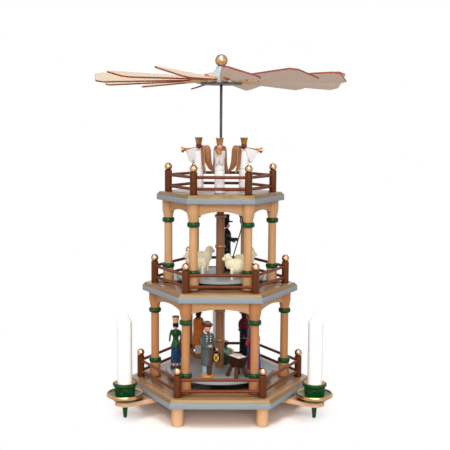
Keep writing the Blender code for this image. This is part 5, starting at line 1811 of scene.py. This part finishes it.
def build_manger():
    """A hollowed trough on four splayed logs, with a folded cloth over straw."""
    trough = Shape()
    wall = MANGER_LEG_RADIUS * 0.7
    floor = MANGER_RIM * MANGER_FLOOR_SHARE
    outside = [(1.0, MANGER_RIM), (MANGER_TAPER_SHARE, floor)]
    body = bmesh.new()
    rings = []
    for share, height in outside:
        half_depth = MANGER_HALF_DEPTH * (0.35 + 0.65 * share)
        rings.append(rectangle(body, MANGER_HALF_WIDTH * share, half_depth, height))
    inner_top = rectangle(body, MANGER_HALF_WIDTH - wall, MANGER_HALF_DEPTH - wall, MANGER_RIM)
    inner_low = rectangle(body, MANGER_HALF_WIDTH * 0.75, MANGER_HALF_DEPTH * 0.6, MANGER_RIM * 0.80)
    for first, second in ((rings[0], rings[1]), (inner_top, rings[0]), (inner_low, inner_top)):
        join_rings(body, first, second)
    body.faces.new(rings[1])
    body.faces.new(inner_low)
    trough.add(eased(closed(body), wall / 4), "manger_brown")
    for side in (-1, 1):
        for front in (-1, 1):
            corner = Vector((side * MANGER_HALF_WIDTH, front * MANGER_HALF_DEPTH, MANGER_RIM))
            foot, top = [corner * Vector(shares) for shares in MANGER_LEG_SHARES]
            rise = top - foot
            side_line = [(0, 0), (MANGER_LEG_RADIUS, 0), (MANGER_LEG_RADIUS * 1.08, rise.length)]
            log = from_profile(rounded([*side_line, (0, rise.length)], MANGER_LEG_ROUNDING), 20)
            turn = Vector((0, 0, 1)).rotation_difference(rise.normalized()).to_matrix().to_4x4()
            trough.add(log, "log_brown", shift(*foot) @ turn)
    trough.add(folded_cloth(), "linen", shift(0, 0, MANGER_RIM))
    made = trough.made("manger_trough", figure_place("manger", LOWER))
    placed(made, "rotor", "manger_brown", "manger")


def rectangle(body, half_x, half_y, height):
    return [body.verts.new((x * half_x, y * half_y, height)) for x, y in ((1, 1), (-1, 1), (-1, -1), (1, -1))]


def folded_cloth():
    """A soft cloth over a padded bed, creased along its length."""
    body = bmesh.new()
    columns, rows = 30, 18
    half_width, half_depth = MANGER_HALF_WIDTH * 0.84, MANGER_HALF_DEPTH * 0.90
    deep, shallow = CLOTH_CREASES
    sheet = []
    for row in range(rows + 1):
        line = []
        for column in range(columns + 1):
            u, v = column / columns * 2 - 1, row / rows * 2 - 1
            crown = CLOTH_CROWN * (1 - u**4) * (1 - v**4)
            crease = deep * math.sin(7.0 * u + 2.2 * math.sin(3.0 * v))
            crease += shallow * math.sin(11.0 * v + 3.0 * u)
            droop = CLOTH_DROOP * max(0.0, abs(v) - 0.8) / 0.2
            line.append(body.verts.new((u * half_width, v * half_depth, crown + crease - droop)))
        sheet.append(line)
    joined_rows(body, sheet)
    closed(body)
    bmesh.ops.solidify(body, geom=body.faces[:], thickness=CLOTH_THICKNESS)
    return closed(body)


def build_shepherd():
    man = Shape(node_height("shepherd"))
    turned_part(man, ((0.084, 0.0), (0.086, 0.030), (0.074, 0.036)), "hair_dark", 0.006)
    coat = (
        (0.070, 0.030), (0.080, 0.10), (0.078, 0.34), (0.073, 0.48),
        (0.082, 0.62), (0.076, 0.68), (0.050, 0.725), (0.026, 0.740),
    )
    turned_part(man, coat, "coat_black", 0.018)
    turned_part(man, ((0.034, 0.725), (0.036, 0.745), (0.026, 0.755)), "coat_black", 0.006)
    head(man, (0, -0.006, 0.805), 0.050)
    hair(man, (0, -0.002, 0.810), 0.050, "hair_dark", 0.0, -54, 98)
    turned_part(man, ((0.106, 0.866), (0.112, 0.872), (0.108, 0.880), (0.052, 0.890)), "coat_black", 0.003)
    turned_part(man, ((0.049, 0.880), (0.048, 0.94), (0.052, 0.99), (0.048, 1.0)), "coat_black", 0.006)
    far = [(0.060, -0.01, 0.655, 0.032), (0.072, -0.060, 0.565, 0.030), (0.046, -0.130, 0.525, 0.024)]
    near = [(-0.060, -0.01, 0.655, 0.034), (-0.072, -0.070, 0.580, 0.032), (0.010, -0.175, 0.560, 0.026)]
    arm(man, far, "coat_black", 0.020, "cuff_green")
    arm(man, near, "coat_black", 0.020, "coat_black")
    crook = [
        (0.080, -0.050, 0.02, 0.010),
        (0.052, -0.128, 0.28, 0.0105),
        (0.022, -0.205, 0.56, 0.0105),
        (0.0, -0.265, 0.78, 0.010),
        (0.0, -0.284, 0.900, 0.010),
        (0.0, -0.277, 0.950, 0.010),
        (0.0, -0.258, 0.968, 0.010),
        (0.0, -0.241, 0.945, 0.0095),
        (0.0, -0.237, 0.850, 0.0085),
    ]
    man.add(tube(crook, 12, 6), "crook")
    stand_figure(man, "shepherd", MIDDLE, "coat_black")


def build_sheep(number):
    """A carved sheep, facing -Y: one smooth mass with curls scattered over it, a bare face and legs."""
    node = f"sheep_{number}"
    length, height = SHEEP_LENGTH, SHEEP_HEIGHT
    reach, rise = SHEEP_HEAD_PLACES.get(node, SHEEP_HEAD_PLACE)
    fleece = Shape()
    for place_y, place_z, radii in (
        (0.10, 0.55, (0.20, 0.38, 0.26)),
        (0.34, 0.55, (0.18, 0.15, 0.25)),
        (0.08 - reach, 0.63, (0.16, 0.18, 0.23)),
        (-reach, rise, (0.150, 0.150, 0.165)),
    ):
        sizes = (length * radii[0], length * radii[1], height * radii[2])
        fleece.add(ellipsoid((0, length * place_y, height * place_z), sizes), "wool")
    mass = fleece.made(node + "_fleece")
    remesh = mass.modifiers.new("one_skin", "REMESH")
    remesh.mode = "VOXEL"
    remesh.voxel_size = FLEECE_VOXEL
    smooth = mass.modifiers.new("soften", "SMOOTH")
    smooth.iterations = 4
    applied(mass)
    curls = {"Density": CURL_DENSITY, "Curl Size": CURL_SIZE, "Seed": number}
    TREES["wool"].run_on(mass, Finish=FINISHES["wool"], **curls)
    place = figure_place(node, MIDDLE)
    mass.data.transform(place)
    placed(mass, "rotor", "wool", node)
    bare = Shape()
    muzzle = [
        (0, -length * (reach + 0.040), height * (rise - 0.005), height * 0.118),
        (0, -length * (reach + 0.120), height * (rise - 0.030), height * 0.094),
        (0, -length * (reach + 0.165), height * (rise - 0.045), height * 0.066),
    ]
    bare.add(tube(muzzle, 20, 4), "fleece_face")
    for side in (-1, 1):
        ear = [
            (side * length * 0.10, -length * reach, height * (rise + 0.075), height * 0.026),
            (side * length * 0.17, -length * (reach + 0.01), height * (rise + 0.045), height * 0.038),
            (side * length * 0.22, -length * (reach + 0.03), height * (rise - 0.010), height * 0.018),
        ]
        bare.add(tube(ear, 10, 4), "fleece_face")
        eye = (side * length * 0.092, -length * (reach + 0.090), height * (rise + 0.030))
        bare.add(ellipsoid(eye, SHEEP_EYE_RADII, 12), "eye")
        for along in (-0.13, 0.34):
            across = side * length * 0.10
            leg = [
                (across, length * along, height * 0.42, length * 0.066),
                (across, length * along, height * 0.20, length * 0.048),
                (across, length * along, height * 0.05, length * 0.047),
            ]
            bare.add(tube(leg, 12, 3), "fleece_face")
            hoof = [(0, 0), (length * 0.050, 0), (length * 0.047, height * 0.05), (0, height * 0.05)]
            hoof = from_profile(rounded(hoof, HOOF_ROUNDING), 14)
            bare.add(hoof, "fleece_face", shift(across, length * along, 0))
    if number == 1:
        throat = (0, -length * 0.30, height * 0.60)
        tag = ellipsoid(throat, (length * 0.07, length * 0.035, height * 0.07), 16)
        bare.add(tag, "collar_orange")
    placed(bare.made(node + "_limbs", place), "rotor", "wool", node)


def build_angels():
    for number, angle in enumerate(ANGEL_ANGLES, 1):
        node = f"angel_{number}"
        angel = Shape(node_height(node))
        gown = (
            (0.088, 0.0), (0.092, 0.008), (0.092, 0.40), (0.088, 0.44),
            (0.086, 0.60), (0.080, 0.68), (0.060, 0.735), (0.026, 0.75),
        )
        turned_part(angel, gown, "gown_white", 0.014)
        turned_part(angel, ((0.0915, 0.412), (0.0935, 0.418), (0.0915, 0.424)), "gown_line", 0.003)
        turned_part(angel, ((0.0935, 0.060), (0.0945, 0.066), (0.0935, 0.072)), "gown_line", 0.003)
        head(angel, (0, -0.008, 0.828), 0.053)
        hair(angel, (0, -0.002, 0.830), 0.055, "hair_brown", 0.0, -58, 104)
        angel.add(scalloped_crown(), "crown_gold", shift(0, 0, 0.868))
        for side in (-1, 1):
            upright = about("Z", math.radians(-90 - side * 14)) @ about("X", QUARTER_TURN)
            sleeve = slab(soft_outline(SLEEVE_SHARES), 0.050, 0.020, 4)
            angel.add(sleeve, "gown_white", shift(side * 0.078, 0.0, 0.715) @ upright)
            hand = (side * 0.034, -0.262 + 0.02 * side, 0.732)
            angel.add(ellipsoid(hand, (0.019, 0.026, 0.026), 14), "skin")
            wing = slab(soft_outline(WING_SHARES), 0.022, 0.008, 3)
            sweep = QUARTER_TURN - side * (QUARTER_TURN - WING_SWEEP)
            place = shift(side * 0.020, 0.062, 0) @ about("Z", sweep) @ about("X", QUARTER_TURN)
            angel.add(wing, wing_finish, place)
        rows = [(0, y, z, radius) for y, z, radius in TRUMPET_SHARES]
        angel.add(trumpet(rows), "trumpet_gold")
        low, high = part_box(node)
        x, y, _ = on_circle(ANGEL_CIRCLE, angle)
        turn = about("Z", angle + QUARTER_TURN)
        place = shift(x, y, low.z) @ turn @ Matrix.Scale(high.z - low.z, 4)
        placed(angel.made(node + "_carved", place), "stand", "angel_white", node)


def soft_outline(shares):
    """A closed smooth outline through the given points."""
    points = [*shares[-2:], *shares, *shares[:2]]
    curve = smoothed(points, 4)
    return [tuple(point) for point in curve[8:-8]][:-1]


def wing_finish(face):
    return "wing_bronze" if abs(face.normal.z) > 0.5 else "wing_edge"


def scalloped_crown():
    """A flared crown, open on top, whose rim rises and falls."""
    body = bmesh.new()
    segments = 48
    levels = ((0.052, 0.0), (0.060, 0.055), (0.074, 0.122))
    rings = []
    inside = [(radius - CROWN_WALL, height) for radius, height in reversed(levels)]
    for radius, height in (*levels, *inside):
        ring = []
        for step in range(segments):
            angle = FULL_TURN * step / segments
            wave = 0.045 * math.cos(8 * angle) if height == levels[-1][1] else 0.0
            ring.append(body.verts.new(on_circle(radius, angle, height * (1 + wave))))
        rings.append(ring)
    return skinned(body, rings, loop=True)


def trumpet(rows):
    """A flaring horn with an open bell."""
    path = smoothed(rows, 5)
    way = (path[-1].xyz - path[0].xyz).normalized()
    body = bmesh.new()
    side = way.orthogonal().normalized()
    rings = [[body.verts.new(path[0].xyz - way * path[0].w)]]
    bore = [(point, point.w * 0.72) for point in path[-9:]]
    for point, radius in [*[(point, point.w) for point in path], *reversed(bore)]:
        rings.append(ring_at(body, across(way, side, point.xyz), radius, 24))
    rings.append([body.verts.new(path[-9].xyz)])
    return skinned(body, rings)


def build_figures():
    build_man_with_lantern()
    build_woman_in_tall_hat()
    build_man_in_orange_coat()
    build_woman_in_blue_robe()
    build_man_in_red_cape()
    build_kneeling_man()
    build_manger()
    build_shepherd()
    for number in (1, 2, 3, 4):
        build_sheep(number)
    build_angels()


def make_camera():
    camera = in_scene("camera", bpy.data.cameras.new("camera"))
    camera.data.lens = CAMERA_LENS
    camera.data.sensor_width = CAMERA_SENSOR
    camera.data.clip_start = CAMERA_NEAREST
    turn = about("Z", CAMERA_TURN) @ about("X", CAMERA_TILT) @ about("Z", CAMERA_ROLL)
    camera.matrix_world = shift(*CAMERA_PLACE) @ turn
    bpy.context.scene.camera = camera


def make_lights():
    for name, (azimuth, elevation, size, strength) in SOFT_SUNS.items():
        lamp = bpy.data.lights.new(name, "SUN")
        lamp.energy = strength
        lamp.angle = math.radians(size)
        light = in_scene(name, lamp)
        height = math.radians(elevation)
        side = Vector(on_circle(math.cos(height), math.radians(azimuth), math.sin(height)))
        light.rotation_euler = (-side).to_track_quat("-Z", "Y").to_euler()


def make_surroundings():
    """A white studio: an even fill for the object, and white where the camera, a gloss or glass looks."""
    world = bpy.data.worlds.new("studio")
    world.use_nodes = True
    bpy.context.scene.world = world
    nodes = Nodes(world.node_tree)
    background = world.node_tree.nodes["Background"]
    strength = nodes.remap(seen_directly(nodes), 0.0, 1.0, WORLD_FILL, 1.0)
    nodes.fill(background.inputs, {"Strength": strength, "Color": WHITE})
    bpy.context.scene.view_settings.view_transform = "Standard"


def seen_directly(nodes):
    """One for camera, glossy and transmission rays, and nothing for light that bounces on."""
    path = nodes.add("ShaderNodeLightPath").outputs
    shiny = nodes.math("MAXIMUM", path["Is Glossy Ray"], path["Is Transmission Ray"])
    return nodes.math("MAXIMUM", path["Is Camera Ray"], shiny)


def make_floor():
    """A bright floor that keeps the warm shadow near the object and is plain white farther out."""
    body = bmesh.new()
    corners = ((-1, -1), (1, -1), (1, 1), (-1, 1))
    body.faces.new([body.verts.new((x * FLOOR_HALF, y * FLOOR_HALF, 0)) for x, y in corners])
    mesh = bpy.data.meshes.new("floor")
    body.to_mesh(mesh)
    body.free()
    material, nodes, shader = new_material("floor_white")
    seen = seen_directly(nodes)
    place = nodes.add("ShaderNodeTexCoord").outputs["Object"]
    from_centre = nodes.add("ShaderNodeVectorMath", {0: place, 1: SHADOW_CENTRE}, operation="DISTANCE")
    blank = nodes.times(seen, nodes.remap(from_centre.outputs["Value"], *SHADOW_FADE))
    lit = nodes.mix(seen, tone(194, 186, 180), tone(255, 241, 235))
    nodes.fill(shader, {
        "Base Color": nodes.mix(blank, lit, BLACK),
        "Emission Strength": blank,
        "Emission Color": WHITE,
        "Roughness": 1.0,
        "Specular IOR Level": 0.0,
    })
    mesh.materials.append(material)
    floor = in_scene("floor", mesh)


GROUPS = {
    "wood_grain": wood_grain_group(),
    "hand_paint": hand_paint_group(),
    "bronze_paint": bronze_paint_group(),
}
FINISHES = make_finishes()
TREES = {"ring": ring_of_copies_tree(), "rails": rails_tree(), "wool": wool_tree()}
make_camera()
make_lights()
make_surroundings()
make_floor()
build_boards()
build_legs()
build_arches()
build_pillars()
build_railings()
build_shaft()
build_turntables()
build_hub()
build_blades()
build_arms_and_cups()
build_candles()
build_figures()
